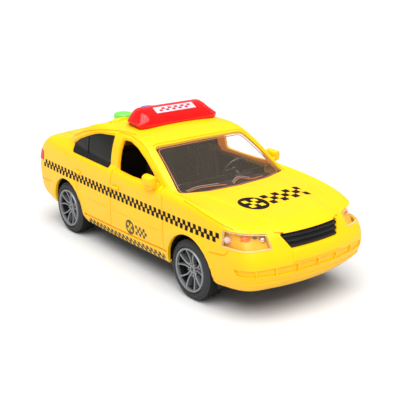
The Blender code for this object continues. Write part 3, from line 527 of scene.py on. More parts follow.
def press(co):
    """Swellings too soft to be edges: wheel-arch lips and the bonnet's raised middle."""
    x, y, z = co[:, 0], co[:, 1], co[:, 2]
    side = np.sign(y)
    flank = ease(np.abs(y), 40, 45)
    for centre in (FRONT_X, REAR_X):
        away = np.hypot(x - centre, z - AXLE_Z)
        lip = np.exp(-(((away - LIP_R) / LIP_WIDTH) ** 2)) * ease(z, 13, 20)
        y += side * flank * lip * LIP_RISE
    edge = 31 - (x - 52) * 0.16
    middle = 1 - ease(np.abs(y), edge - 3.5, edge + 1.0)
    z += BONNET_RISE * middle * ease(x, 52, 62) * (1 - ease(x, 104, 112)) * ease(z, 48, 52)
    return co


def smooth_surface():
    """The whole outer surface as an open mesh object."""
    obj = obj_of("surface", cage_mesh("surface"))
    modify(obj, "MIRROR", use_axis=(False, True, False), merge_threshold=1e-5)
    bake(modify(obj, "SUBSURF", levels=SURFACE_LEVELS, render_levels=SURFACE_LEVELS))
    count = len(obj.data.vertices)
    co = np.empty(count * 3)
    obj.data.vertices.foreach_get("co", co)
    co = press(co.reshape(-1, 3) / MM) * MM
    obj.data.vertices.foreach_set("co", co.ravel())
    obj.data.update()
    return obj


SURFACE = smooth_surface()
TREE = BVHTree.FromPolygons(
    [v.co / MM for v in SURFACE.data.vertices], [tuple(p.vertices) for p in SURFACE.data.polygons]
)


def cast(start, direction):
    """Point and outward normal where a ray from outside meets the surface."""
    point, normal, _, _ = TREE.ray_cast(Vector(start), Vector(direction).normalized())
    if point is None:
        raise ValueError("no surface below " + str(tuple(start)))
    if normal.dot(Vector(direction)) > 0:
        normal = -normal
    return point, normal


def on_side(x, z, side=-1):
    return cast((x, side * 90, z), (0, -side, 0))


def on_top(x, y):
    return cast((x, y, 130), (0, 0, -1))


NOSE_CENTRE_X = 88
NOSE_R = 33.0


def on_nose(turn, z):
    """Turn is the angle in degrees round the nose from straight ahead, positive to the left."""
    a = math.radians(turn)
    out = Vector((math.cos(a), math.sin(a), 0))
    return cast(Vector((NOSE_CENTRE_X, 0, z)) + out * 90, -out)


def nose_turn(y):
    """The angle that meets the nose at about this y."""
    reach = math.sqrt(max(NOSE_R ** 2 - (abs(y) * 0.55) ** 2, 1.0))
    return math.degrees(math.atan2(y, reach))


def on_tail(y, z):
    return cast((-190, y, z), (1, 0, 0))


def wall(name, low, high):
    """The body surface as a solid layer between two depths, positive outwards."""
    obj = obj_of(name, SURFACE.data.copy())
    thickness, offset = (high - low) * MM, (low + high) / (high - low)
    return bake(modify(obj, "SOLIDIFY", thickness=thickness, offset=offset, use_even_offset=False))


def layer_piece(name, low, high, cutter):
    """The part of a surface layer that lies inside a cutter."""
    return boolean(wall(name, low, high), cutter, "INTERSECT")


def slab(name, grid, low, high, loop=False):
    """A closed sheet that follows a grid of (point, normal) pairs between two heights."""
    bm = bmesh.new()
    layers = []
    for height in (low, high):
        layers.append([[bm.verts.new((p + n * height) * MM) for p, n in row] for row in grid])
    under, over = layers
    quads(bm, under, loop, flip=True)
    quads(bm, over, loop)
    for end in (0, -1):
        quads(bm, (under[end], over[end]), loop)
    if not loop:
        for end in (0, -1):
            quads(bm, ([row[end] for row in under], [row[end] for row in over]))
    return obj_of(name, from_bmesh(name, bm))


def patch(name, place, u, v, low, high, step=1.6):
    """A slab over a rectangle of a placing function's two coordinates."""
    nu = max(int(abs(u[1] - u[0]) / step) + 1, 2)
    nv = max(int(abs(v[1] - v[0]) / step) + 1, 2)
    grid = []
    for i in range(nv + 1):
        b = v[0] + (v[1] - v[0]) * i / nv
        grid.append([place(u[0] + (u[1] - u[0]) * j / nu, b) for j in range(nu + 1)])
    return slab(name, grid, low, high)


def quad_patch(name, place, corners, low, high, steps=4):
    """A slab over a four-cornered area given in a placing function's coordinates."""
    a, b, c, d = [Vector(p) for p in corners]
    grid = []
    for i in range(steps + 1):
        left, right = a.lerp(d, i / steps), b.lerp(c, i / steps)
        grid.append([place(*left.lerp(right, j / steps)) for j in range(steps + 1)])
    return slab(name, grid, low, high)


def groove(points, radius=0.48, rise=-0.12):
    """A cutter along surface points: half of its round section lies below the surface."""
    line = [p + n * rise for p, n in points]
    ahead, behind = (line[-1] - line[-2]).normalized(), (line[0] - line[1]).normalized()
    line = [line[0] + behind * 0.1] + line[1:-1] + [line[-1] + ahead * 0.1]
    return tube("groove", line, radius, 8, normals=[n for _, n in points])


def side_line(points, side):
    """Surface points under a smooth line drawn in x and z on one side."""
    return [on_side(p.x, p.y, side) for p in spline(points)]


def top_line(points, side=1):
    """Surface points under a smooth line drawn in x and y, seen from above."""
    return [on_top(p.x, p.y * side) for p in spline(points)]


# ---- body


def lamp_cutter(plan, low, tops, side, by):
    """A block over a lamp's plan, grown by a distance, with a height for each corner of its top."""
    plan = [(x, -side * y) for x, y in grown(plan, by)]
    bottom = [(x, y, low - by) for x, y in plan]
    top = [(x, y, z + by) for (x, y), z in zip(plan, tops)]
    return loft("cut", [bottom, top])


def headlight_cutter(side, by=0.0):
    return lamp_cutter(HEADLIGHT_PLAN, HEADLIGHT_LOW, HEADLIGHT_TOPS, side, by)


def tail_cutter(side, by=0.0):
    return lamp_cutter(TAIL_PLAN, TAIL_LOW, [TAIL_HIGH + t for t in TAIL_TIPS], side, by)


def side_cutter(outline, side, inner=33.0):
    """A block through one side of the body, from inside the skin to well outside it."""
    low, high = sorted((side * inner, side * 60.0))
    return prism("cut", outline, low, high, "Y")


def windscreen_cutter(by=0.0, corner=3.0):
    return prism("cut", rounded(grown(WINDSCREEN, by), corner), 50, 95)


def rear_screen_cutter(by=0.0, corner=4.0):
    return prism("cut", rounded(grown(REAR_SCREEN, by), corner), 60, 95)


def grille_cutter(by=0.0):
    return prism("cut", rounded(grown(GRILLE, by), 1.2), 100, 130, "X")


def arch_outline(cx, front, rear, steps=36):
    """A wheel opening with feet in front and behind: each has an x near the axle's height and one below."""
    points = []
    for i in range(steps + 1):
        a = math.pi * i / steps
        r = ARCH_R + (cx - rear[0] - ARCH_R) * max(-math.cos(a), 0) ** 2
        points.append((cx + r * math.cos(a), AXLE_Z + r * math.sin(a)))
    level, foot = AXLE_Z - 2.0, 5.0
    return [(front[1], foot), (front[0], level)] + points + [(rear[0], level), (rear[1], foot)]


ARCHES = (
    arch_outline(FRONT_X, (FRONT_X + 23.6, FRONT_X + 32.0), (FRONT_X - 20.8, FRONT_X - 20.0)),
    arch_outline(REAR_X, (REAR_X + 24.0, REAR_X + 38.0), (REAR_X - 19.1, REAR_X - 19.1)),
)

# Lines pressed into the skin, in x and z on the side
ROOF_RAIL = [(-5.0, 82.8), (-22.0, 82.5), (-41.4, 80.0), (-59.9, 75.6), (-76.0, 69.4)]
DOOR_FRAME = [(-20.9, 81.9), (-7.5, 81.8), (7.1, 79.4), (18.3, 74.0), (28.4, 66.0), (39.2, 58.6),
              (40.6, 53.5), (41.6, 40.0), (42.4, 25.0)]
MIDDLE_GAP = [(-16.2, 59.2), (-16.8, 48.0), (-17.4, 36.0), (-18.0, 23.0)]
REAR_GAP = [(-65.3, 49.8), (-62.5, 40.9), (-59.4, 33.0), (-53.3, 23.4), (-48.6, 20.2)]
SILL = [(-53.5, 20.6), (-30.0, 21.0), (-5.0, 21.5), (20.0, 22.4), (45.3, 23.6)]
REAR_DOOR_CREASE = [(-46.8, 33.4), (-21.0, 33.7)]
FRONT_DOOR_CREASE = [(-14.5, 33.7), (37.5, 34.6)]
BUMPER_SEAM = [(86.2, 35.8), (92.0, 36.5), (98.4, 37.4), (100.8, 40.2)]
REAR_BUMPER_SEAM = [(-98.5, 33.0), (-108.0, 32.0), (-117.5, 31.5)]
# and in x and y from above
BONNET_EDGE = [(60.0, 46.4), (76.5, 46.9), (84.6, 46.6), (93.9, 45.6), (101.0, 43.6)]
BONNET_CREASE = [(109.0, 29.6), (96.0, 32.1), (78.0, 34.0)]
BOOT_EDGE = [(-84.5, 33.0), (-98.0, 33.6), (-108.0, 32.4)]


def body_cutters():
    yield windscreen_cutter()
    yield rear_screen_cutter()
    yield grille_cutter()
    for y, _ in BUTTONS.values():
        yield prism("cut", circle((BUTTON_X, y), 6.75, 48), 76, 95)
    for side, _ in SIDES:
        yield side_cutter(rounded(FRONT_SIDE, SIDE_CORNER), side)
        yield side_cutter(rounded(REAR_SIDE, SIDE_CORNER), side)
        yield headlight_cutter(side)
        yield tail_cutter(side)
        for outline in ARCHES:
            yield side_cutter(outline, side, 32.0)


def frame_recesses():
    """Shallow steps round the glass, so each opening has a thin frame."""
    for side, _ in SIDES:
        for outline in (FRONT_SIDE, REAR_SIDE):
            cutter = side_cutter(rounded(grown(outline, 1.1), 2.4), side)
            yield layer_piece("recess", -0.45, 1.2, cutter)
    yield layer_piece("recess", -0.5, 1.2, windscreen_cutter(1.2, 3.4))
    yield layer_piece("recess", -0.4, 1.2, rear_screen_cutter(1.0, 4.4))


def intake_recesses():
    """Air openings in the nose: four in the middle and two at each corner."""
    edges = (-26.6, -13.6, 0.0, 13.6, 26.6)
    for low, high in zip(edges, edges[1:]):
        turns = (nose_turn(low + 0.5), nose_turn(high - 0.5))
        yield patch("recess", on_nose, turns, (27.4, 32.2), -1.0, 1.5, 2.2)
    outer = ((67.5, 27.6), (55.3, 28.0), (55.3, 32.0), (70.0, 31.2))
    inner = ((54.3, 28.0), (42.6, 27.6), (42.6, 32.2), (54.3, 32.1))
    for side, _ in SIDES:
        for corners in (outer, inner):
            turned = [(-side * turn, z) for turn, z in corners]
            yield quad_patch("recess", on_nose, turned, -0.9, 1.5, 6)


def leading_edge(side):
    """The bonnet's front shut line, from a headlight to the grille's corner."""
    run = []
    for y in np.linspace(22.8, 29.0, 8):
        height = float(np.interp(y, (22.6, 29.0), (48.2, 49.0)))
        run.append(on_nose(side * nose_turn(y), height))
    return run


def pressed_lines():
    for side, _ in SIDES:
        for line in (ROOF_RAIL, DOOR_FRAME, MIDDLE_GAP, REAR_GAP, BUMPER_SEAM):
            yield groove(side_line(line, side))
        yield groove(side_line(SILL, side), 0.75, -0.35)
        for line in (REAR_DOOR_CREASE, FRONT_DOOR_CREASE):
            yield groove(side_line(line, side), 0.4, 0.18)
        yield groove(side_line(REAR_BUMPER_SEAM, side), 0.42)
        yield groove(top_line(BONNET_EDGE, side), 0.48, -0.1)
        yield groove(top_line(BONNET_CREASE, side), 0.4, 0.2)
        yield groove(leading_edge(side), 0.6, -0.15)
        yield groove(top_line(BOOT_EDGE, side), 0.45)


def body_shell():
    shell = wall("body_skin", -1.9, 0.0)
    for cutters in (body_cutters, frame_recesses, intake_recesses, pressed_lines):
        for cutter in cutters():
            boolean(shell, cutter)
    finish(shell, "yellow", replaces=["body_shell"], angle=28)
    modify(shell, "WEIGHTED_NORMAL", keep_sharp=True, weight=80)


# ---- glass, lamps and grille


def outline_loop(outline, place, step=2.0):
    """Surface points round a closed outline."""
    run = []
    for a, b in zip(outline, outline[1:] + outline[:1]):
        a, b = Vector(a), Vector(b)
        count = max(int((b - a).length / step), 1)
        run += [place(*a.lerp(b, i / count)) for i in range(count)]
    return run


def line_tube(name, run, radius, depth, look, flat=1.0, loop=False):
    """A rod along surface points, moved by a depth along their normals."""
    line = [p + n * depth for p, n in run]
    obj = tube(name, line, radius, 8, loop, [n for _, n in run], flat)
    return finish(obj, look, angle=60)


def pane(name, low, high, cutter, look, node):
    finish(layer_piece(name, low, high, cutter), look, replaces=[node], angle=30)


def glazing():
    pane("windscreen_glass", -1.5, -0.35, windscreen_cutter(-FIT), "clear", "windscreen")
    pane("rear_glass", -1.8, -0.35, rear_screen_cutter(-FIT), "smoke", "rear_window")
    for side, tag in SIDES:
        cutter = side_cutter(rounded(grown(REAR_SIDE, -FIT), SIDE_CORNER), side)
        pane("side_glass_" + tag, -1.8, -0.5, cutter, "smoke", "rear_side_window_" + tag)
        bar = [on_side(-52.2 - 0.07 * (z - 60.3), z, side) for z in np.linspace(61.0, 73.6, 8)]
        line_tube("window_divider_" + tag, bar, 0.75, -0.45, "black", 0.7)
    # the welding ledge moulded round the clear windscreen, seen through it
    ledge = outline_loop(rounded(grown(WINDSCREEN, -1.9), 3.0), on_top)
    line_tube("windscreen_ledge", ledge, 0.34, -1.9, "flange", 0.8, loop=True)
    painted_pillar_glow()
    wipers()


def painted_pillar_glow():
    """A thin sheet on the inner face of the thin pillars and sills round the front side windows, with painted
    glow standing in for daylight through the yellow plastic.
    """
    outline = [(-22.0, 56.5), (46.0, 56.5), (40.0, 68.0), (10.0, 81.5), (-22.0, 82.5)]
    for side, tag in SIDES:
        glow_sheet = layer_piece("pillar_glow_sheet_" + tag, -2.1, -1.94, side_cutter(outline, side, 30.0))
        for window in (FRONT_SIDE, REAR_SIDE):
            boolean(glow_sheet, side_cutter(rounded(window, SIDE_CORNER), side, 30.0))
        boolean(glow_sheet, windscreen_cutter())
        # painted glow: the sheet's emission stands in for light coming through the shell
        finish(glow_sheet, "painted_glow", angle=40)


def wipers():
    """Two wiper arms moulded along the foot of the windscreen, each with a blade behind it."""
    runs = (
        [(48.6, -35.5), (48.2, -28.0), (49.4, -20.0), (50.6, -13.0), (51.6, -8.5)],
        [(52.2, -3.5), (50.0, 0.5), (49.4, 5.0), (51.4, 11.0), (50.6, 21.0)],
    )
    for number, run in enumerate(runs, 1):
        line_tube(f"wiper_arm_{number}", top_line(run), 0.3, -0.25, "flange", 0.8)
        blade = [on_top(p.x - 1.1, p.y) for p in spline(run[:4])]
        line_tube(f"wiper_blade_{number}", blade, 0.2, -0.2, "wiper", 0.8)


def dome(radius, height, steps=6):
    turns = [math.pi / 2 * i / steps for i in range(steps)]
    curve = [(radius * math.cos(a) * 0.96, height * math.sin(a)) for a in turns]
    return [(0.0, -0.6), (radius, -0.6)] + curve + [(0.0, height)]


def aim(point, normal):
    turn = Vector(normal).to_track_quat("Z", "Y").to_matrix().to_4x4()
    turn.translation = Vector(point) * MM
    return turn


def headlight_bucket(side, tag):
    """The orange bowl behind a headlight, with its lamps; the pale fourth one is a painted highlight."""
    bowl = layer_piece("lamp_bowl_" + tag, -4.6, -3.8, headlight_cutter(side, 1.6))
    finish(bowl, "reflector", angle=30)
    spots = (
        ((108.9, 30.0, 45.2), 2.0, "chrome"),
        ((106.3, 33.0, 46.7), 1.2, "pocket"),
        ((104.4, 38.4, 45.2), 3.4, "amber"),
        # painted highlight: a pale dome in the label film stands in for the highlight at the lamp's outer end
        ((96.8, 44.0, 45.0), 2.2, "label"),
    )
    for number, ((x, y, z), radius, look) in enumerate(spots, 1):
        bulb = lathe(f"lamp_{tag}_{number}", dome(radius, 1.7), 24, "Z")
        bulb.data.transform(aim((x, side * y, z), (0.8, side * 0.5, 0.2)))
        finish(bulb, look, angle=40)


def lamp_lens(name, low, high, cutter, look, node):
    lens = bevel(layer_piece(name, low, high, cutter), 0.3, 2, 50)
    finish(lens, look, replaces=[node], angle=40)


def lamps():
    for side, tag in SIDES:
        cutter = headlight_cutter(side, -FIT)
        lamp_lens("headlight_" + tag, -1.5, 0.15, cutter, "lamp_clear", "headlight_lens_" + tag)
        headlight_bucket(side, tag)
        # the ridge is real; its pale colour is a painted highlight
        rim = layer_piece("headlight_rim_" + tag, -0.9, 0.32, headlight_cutter(side, -FIT))
        boolean(rim, headlight_cutter(side, -0.6))
        finish(rim, "rim_clear_painted_highlight", angle=40)
        lamp_lens("tail_lens_" + tag, -1.7, 0.2, tail_cutter(side, -FIT), "red", "tail_light_" + tag)
        y0, y1 = sorted((side * 34.5, side * 38.5))
        corners = ((y0, 48.0), (y1, 48.0), (y1, 52.4), (y0, 52.4))
        finish(quad_patch("tail_reverse_" + tag, on_tail, corners, 0.0, 0.4), "label", angle=40)


def grille():
    base = layer_piece("grille_back", -2.2, -1.2, grille_cutter(-0.2))
    finish(base, "black", replaces=["grille_insert"], angle=30)
    foot, foot_half = 40.3, 17.3
    rise, spread = 7.7, 4.7
    bars = []
    for share in (0.06, 0.38, 0.70):
        z0, z1 = foot + rise * share, foot + rise * (share + 0.24)
        half = foot_half + spread * (share + 0.12) - 0.5
        grid = []
        for k in range(5):
            z = z0 + (z1 - z0) * k / 4
            swell = -1.0 + 0.95 * math.sin(math.pi * k / 4)
            row = [cast((190, -half + 2 * half * j / 16, z), (-1, 0, 0)) for j in range(17)]
            grid.append([(point + normal * swell, normal) for point, normal in row])
        bars.append(slab("bar", grid, -0.7, 0.0))
    finish(join("grille_bars", bars), "black", angle=60)


# ---- trim on the body


def handles():
    rise = [0.25, 0.7, 0.95, 1.05, 1.05, 1.05, 0.95, 0.7, 0.25]
    for side, tag in SIDES:
        flank = partial(on_side, side=side)
        for place, x0, x1, z in (("front", -16.4, -6.6, 49.6), ("rear", -63.4, -56.0, 49.0)):
            name = place + "_" + tag
            cup = patch("handle_cup_" + name, flank, (x0 + 0.6, x1 - 0.6), (z - 2.2, z + 0.9), -0.2, 0.14)
            finish(cup, "yellow", angle=40)
            run = [flank(x, z) for x in np.linspace(x0, x1, 9)]
            line = [p + n * r for (p, n), r in zip(run, rise)]
            bar = tube("handle_" + name, line, 0.95, 10, normals=[n for _, n in run], flat=0.75)
            finish(subdivide(bar), "yellow", angle=70)


def plate(name, place, u, v, rise):
    """A blank number plate moulded on the body."""
    finish(bevel(patch(name, place, u, v, -0.4, rise, 2.4), 0.4, 3, 50), "yellow", angle=45)


def nose_details():
    plate("nose_plate", on_nose, (nose_turn(-17.2), nose_turn(17.2)), (33.4, 39.7), 0.55)
    chin = [on_nose(turn, 23.4) for turn in np.linspace(-62, 62, 60)]
    line_tube("chin_lip", chin, 0.55, 0.1, "yellow", 0.8)
    plate("tail_plate", on_tail, (-15.5, 15.5), (38.5, 46.0), 0.5)
    line = [on_tail(y, 33.2) for y in np.linspace(-38, 38, 40)]
    line_tube("rear_bumper_line", line, 0.6, 0.1, "yellow", 0.8)


# a mirror's sections outwards from the door: y, then the x and z of four corners
MIRROR_HEAD = (
    (45.8, (25.6, 61.8), (31.6, 61.4), (31.8, 64.6), (26.0, 65.0)),
    (46.8, (23.7, 60.4), (33.6, 60.0), (33.8, 66.3), (24.2, 66.7)),
    (48.8, (23.3, 60.1), (34.0, 59.8), (34.1, 66.7), (23.9, 66.9)),
    (51.2, (23.7, 60.6), (33.2, 60.4), (33.2, 66.1), (24.3, 66.3)),
    (52.6, (25.4, 62.0), (31.4, 61.9), (31.4, 64.7), (25.8, 64.8)),
)
MIRROR_FOOT = (
    (45.0, (24.8, 53.4), (34.4, 58.4), (34.6, 62.4), (25.0, 62.4)),
    (48.2, (25.2, 55.6), (32.6, 59.0), (32.8, 63.2), (25.2, 63.2)),
    (49.6, (25.9, 58.2), (30.8, 60.0), (31.2, 64.2), (25.6, 64.2)),
)
MIRROR_GLASS = ((47.8, 61.6), (50.8, 61.8), (50.8, 65.2), (47.8, 65.5))


def soft_loft(name, sections, side, edge):
    """A rounded body through sections of a y and four corners."""
    rings = [[(x, side * y, z) for x, z in corners] for y, *corners in sections]
    return subdivide(bevel(loft(name, rings), edge, 2, 20))


def mirrors():
    for side, tag in SIDES:
        head = soft_loft("mirror_head_" + tag, MIRROR_HEAD, side, 0.8)
        finish(head, "yellow", replaces=["mirror_" + tag], angle=60)
        finish(soft_loft("mirror_arm_" + tag, MIRROR_FOOT, side, 0.7), "yellow", angle=60)
        face = [[(x, side * y, z) for y, z in MIRROR_GLASS] for x in (23.5, 24.1)]
        finish(bevel(loft("mirror_glass_" + tag, face), 0.15, 2, 30), "chrome", angle=30)


# ---- printed marks


CHECK_BLEED = 0.16
# bands of checks along the side: three stations in x, then the band's foot and its top there
STRIPE = ((-109.2, -15.9, 94.3), (42.1, 41.7, 43.0), (47.4, 47.5, 48.2))
SKIRT = ((-50.0, -11.0, 48.5), (15.3, 15.4, 16.6), (18.7, 19.2, 20.6))


def in_arch(x, z, room=0.6):
    return any(math.hypot(x - centre, z - AXLE_Z) < ARCH_R + room for centre in (FRONT_X, REAR_X))


def checks(name, band, start, end, cell, side, look, lean):
    """Two rows of checks along the side in a band, slanted by a lean."""
    stations, feet, tops = band
    made = []
    for i in range(int((end - start) / cell)):
        x0 = start + i * cell
        x1 = x0 + cell + CHECK_BLEED
        foot = float(np.interp(x0, stations, feet))
        half = (float(np.interp(x0, stations, tops)) - foot) * 0.5
        z0 = foot + half * (i % 2)
        z0, z1 = z0 - CHECK_BLEED, z0 + half + CHECK_BLEED
        x0 -= CHECK_BLEED
        slip = lean * (z1 - z0)
        corners = ((x0, z0), (x1, z0), (x1 + slip, z1), (x0 + slip, z1))
        if not any(in_arch(x, z) for x, z in corners):
            made.append(quad_patch("check", partial(on_side, side=side), corners, -0.15, 0.07, 2))
    finish(join(name, made), look, angle=50)


def disc(name, place, centre, radius, low, high, look):
    grid = []
    for share in (0.02, 0.25, 0.5, 0.75, 1.0):
        grid.append([place(a, b) for a, b in circle(centre, radius * share, 40)])
    finish(slab(name, grid, low, high, loop=True), look, angle=50)


def flag(name, place, centre, cell, rows, columns, low, high, look, across=(1.0, 0.0), up=(0.0, 1.0)):
    """A block of alternating squares round a centre, with its two directions in place's coordinates."""
    across, up, centre = Vector(across), Vector(up), Vector(centre)
    made = []
    for r in range(rows):
        for c in range(r % 2, columns, 2):
            corner = centre + across * (c - columns / 2) * cell + up * (r - rows / 2) * cell
            corners = (corner, corner + across * cell, corner + (across + up) * cell, corner + up * cell)
            made.append(quad_patch("square", place, corners, low, high, 2))
    finish(join(name, made), look, angle=50)


def marks():
    for side, tag in SIDES:
        checks("side_checks_" + tag, STRIPE, -110.0, 94.6, 2.42, side, "black_print", -0.12)
        checks("skirt_checks_" + tag, SKIRT, -49.0, 48.0, 2.3, side, "grey_print", -0.25)
        door = partial(on_side, side=side)
        disc("door_disc_" + tag, door, (5.2, 27.4), 4.9, -0.15, 0.07, "grey_print")
        flag("door_disc_flag_" + tag, door, (5.2, 27.4), 1.75, 3, 3, -0.1, 0.13, "yellow_print")
        flag("door_bar_" + tag, door, (5.2 - side * 12.6, 27.4), 2.1, 3, 6, -0.15, 0.07, "grey_print")

    # bonnet: the round mark on the car's right, a flag beside it
    down, left = (1.0, 0.0), (0.0, 1.0)
    disc("bonnet_disc", on_top, (82.2, -13.4), 9.2, -0.15, 0.08, "black_print")
    flag("bonnet_disc_flag", on_top, (82.2, -13.4), 3.5, 3, 3, -0.1, 0.14, "yellow_print", down, left)
    flag("bonnet_flag", on_top, (81.6, 11.6), 4.3, 7, 3, -0.15, 0.08, "black_print", down, left)


# ---- roof

BAR_SECTION = [(-7.2, 83.6), (-6.4, 86.0), (-6.8, 88.6), (-8.6, 90.9), (-11.6, 92.9), (-16.0, 95.1),
               (-18.6, 95.75), (-21.6, 95.8), (-24.6, 94.4), (-27.2, 91.6), (-29.2, 88.0), (-29.4, 85.6),
               (-29.0, 83.6)]
BAR_FOOT = [(-7.4, -25.5), (-7.4, 25.5), (-9.4, 27.6), (-24.0, 27.4), (-28.0, 24.5), (-28.0, -24.5),
            (-24.0, -27.4), (-9.4, -27.6)]
BAR_RIB = [(-8.9, 85.2), (-8.2, 85.2), (-8.4, 88.4), (-9.9, 90.2), (-10.6, 90.2)]
BAR_MIDDLE = (-17.0, 88.0)
SWEEP_X = -12.0
# half length, then the section's width and height there and how far its foot lifts:
# the ends are hipped like a roof's
BAR_STATIONS = (
    (30.6, 0.62, 0.1, 3.2), (30.0, 0.68, 0.22, 2.8), (28.8, 0.8, 0.44, 2.2), (27.2, 0.9, 0.66, 1.3),
    (25.4, 0.96, 0.86, 0.5), (23.8, 1.0, 0.98, 0.0), (22.4, 1.0, 1.0, 0.0), (10.0, 1.0, 1.0, 0.0),
)
BAR_HALF = BAR_STATIONS[0][0]


def bar_rings(inset=0.0, floor=83.6):
    stations = [(-y, *rest) for y, *rest in BAR_STATIONS] + list(BAR_STATIONS[::-1])
    shrink = 1 - inset / 13.0
    mid_x, mid_z = BAR_MIDDLE
    rings = []
    for y, sx, sz, lift in stations:
        ring = []
        for x, z in BAR_SECTION:
            swept = SWEEP_X + (x - SWEEP_X) * sx
            pz = mid_z + (z - mid_z) * sz - inset * (z > 88.2)
            if z < 84:
                under = 1.7 if x < mid_x else 0.6
                pz = min(floor + lift * under, mid_z - 2.4 * sz - 0.2)
            ring.append((mid_x + (swept - mid_x) * shrink, y * (1 - inset / BAR_HALF), pz))
        rings.append(ring)
    return rings


def light_bar():
    lens = loft("light_bar_shell", bar_rings())
    boolean(lens, loft("hollow", bar_rings(1.4, 78.0)))
    boolean(lens, wall("gap", -3.4, 0.3))
    finish(bevel(lens, 0.35, 2, 50), "red_clear", replaces=["light_bar_lens"], angle=45)
    # moulded foot that the lens stands on
    line_tube("light_bar_foot", outline_loop(BAR_FOOT, on_top), 0.7, 0.35, "red", loop=True)
    section = ((-11.0, 86.9), (-14.0, 91.0), (-22.0, 91.4), (-26.2, 86.9))
    inner = loft("light_bar_reflector", [[(x, y, z) for x, z in section] for y in (-23.5, -21.0, 21.0, 23.5)])
    finish(bevel(inner, 0.8, 2, 30), "reflector_red", replaces=["light_bar_base", "led"], angle=40)
    # upright ribs moulded inside the lens
    ribs = [prism("rib", BAR_RIB, y - 0.4, y + 0.4, "Y") for y in (-25.0, -21.5, -18.0, 18.0, 21.5, 25.0)]
    finish(join("light_bar_ribs", ribs), "reflector_red", angle=40)


def bar_label():
    """A white plate on the bar's front slope, with two rows of red checks."""
    low, high = Vector((-10.9, 92.46)), Vector((-16.2, 95.19))
    out = Vector((0.46, 0.89))

    def strip(start, end, base, top):
        return [tuple(p + out * h) for p, h in ((start, base), (end, base), (end, top), (start, top))]

    sign = prism("roof_label", strip(low, high, 0.12, 0.6), -15.5, 15.5, "Y")
    finish(bevel(sign, 0.18, 2, 50), "label", replaces=["light_bar_label"], angle=40)
    made = []
    cell = 2.5
    for r in range(2):
        start, end = low.lerp(high, 0.2 + 0.3 * r), low.lerp(high, 0.5 + 0.3 * r)
        for c in range(r, 10, 2):
            y = (c - 5) * cell
            made.append(prism("cell", strip(start, end, 0.45, 0.65), y, y + cell, "Y"))
    finish(join("roof_label_checks", made), "red_print", angle=40)


def buttons():
    stem = [(0.0, 77.0), (1.6, 77.0), (1.6, 77.6), (7.4, 77.6), (7.4, 78.4), (6.4, 78.4)]
    turns = [math.pi / 12 * i for i in range(1, 7)]
    for name, (y, top) in BUTTONS.items():
        edge = [(4.9 + 1.5 * math.cos(a), top - 1.5 + 1.35 * math.sin(a)) for a in turns]
        profile = stem + [(6.4, top - 1.5)] + edge + [(3.0, top - 0.02), (0.0, top)]
        cap = lathe("push_" + name, profile, 48, "Z", (BUTTON_X, y, 0))
        finish(cap, name, name + "_button_body", angle=35, replaces=["button_" + name])


# ---- cabin


def soft_box(name, sections, edge):
    """A rounded block through four-cornered sections."""
    return subdivide(bevel(loft(name, sections), edge, 2, 30))


def cushion(name, y0, y1, foot, inset, tops, edge):
    """A block between two y's, narrower at the top; tops are its x stations and their heights."""
    sections = [[(x, y0, foot), (x, y1, foot), (x, y1 - inset, z), (x, y0 + inset, z)] for x, z in tops]
    return soft_box(name, sections, edge)


def backrest(y0, y1, behind, ahead, rows, edge):
    """An upright block; rows give its x, its height and how far its sides are drawn in."""
    sections = []
    for x, z, s in rows:
        low, high, rear, front = y0 + s, y1 - s, x - behind, x + ahead
        sections.append([(rear, low, z), (rear, high, z), (front, high, z), (front, low, z)])
    return soft_box("part", sections, edge)


def seat(tag, side):
    y0, y1 = sorted((side * 7.5, side * 29.0))
    middle = side * 18
    back = ((0.0, 39.0, 0.6), (-1.6, 46.0, 0.0), (-4.4, 56.0, 0.6), (-6.6, 64.0, 3.0))
    headrest = ((-7.0, 63.6, 1.0), (-7.4, 66.0, 0.0), (-7.8, 69.0, 0.8))
    parts = [
        cushion("part", y0, y1, 38.2, 0.6, ((-4.0, 43.0), (2.0, 42.6), (12.0, 43.2), (18.6, 43.6)), 1.2),
        backrest(y0, y1, 3.2, 3.0, back, 1.2),
        backrest(middle - 6, middle + 6, 2.0, 1.8, headrest, 0.8),
    ]
    for y in (side * 12.4, side * 23.6):
        piping = [Vector((x, y, z)) for x, z in ((1.9, 47.0), (-0.4, 54.0), (-2.6, 61.0))]
        parts.append(tube("part", piping, 1.5, 8))
    finish(join("front_seat_" + tag, parts), "cabin", angle=60)


def cabin():
    foot, floor, sill = 36.8, 38.0, 56.2
    tray = [box("part", (-53.0, -41.6, foot), (28.6, 41.6, floor))]
    for side, _ in SIDES:
        y0, y1 = sorted((side * 41.8, side * 40.4))
        tray.append(box("part", (-53.0, y0, foot), (28.6, y1, sill)))
    tray.append(box("part", (27.4, -41.6, foot), (28.8, 16.0, sill)))
    tray.append(box("part", (27.4, 24.0, foot), (28.8, 41.6, sill)))
    finish(join("cabin_tray", tray), "cabin", replaces=["cabin_tub"], angle=30)
    for side, tag in SIDES:
        seat(tag, side)
    bench = [
        cushion("part", -37.0, 37.0, floor, 0.6, ((-49.0, 43.0), (-42.0, 43.6), (-31.5, 44.0)), 1.0),
        backrest(-33.5, 33.5, 3.0, 3.0, ((-45.2, 40.0, 0.5), (-46.4, 50.0, 0.0), (-48.2, 61.6, 2.0)), 1.2),
    ]
    finish(join("rear_seat", bench), "cabin", angle=60)
    shelf = box("parcel_tray", (-76.0, -33.6, 55.0), (-52.0, 33.6, sill))
    finish(bevel(shelf, 0.4), "cabin", angle=30)
    tops = ((-6.0, 45.0), (8.0, 45.5), (18.0, 48.0), (27.0, 51.0))
    finish(cushion("console", -5.0, 5.0, floor, 1.0, tops, 1.0), "cabin", angle=60)
    stick = [Vector((x, 0, z)) for x, z in ((14.0, 46.0), (13.4, 51.0), (12.8, 55.0))]
    finish(tube("gear_lever", stick, 0.8, 10), "black", angle=60)
    dashboard()
    steering_wheel()


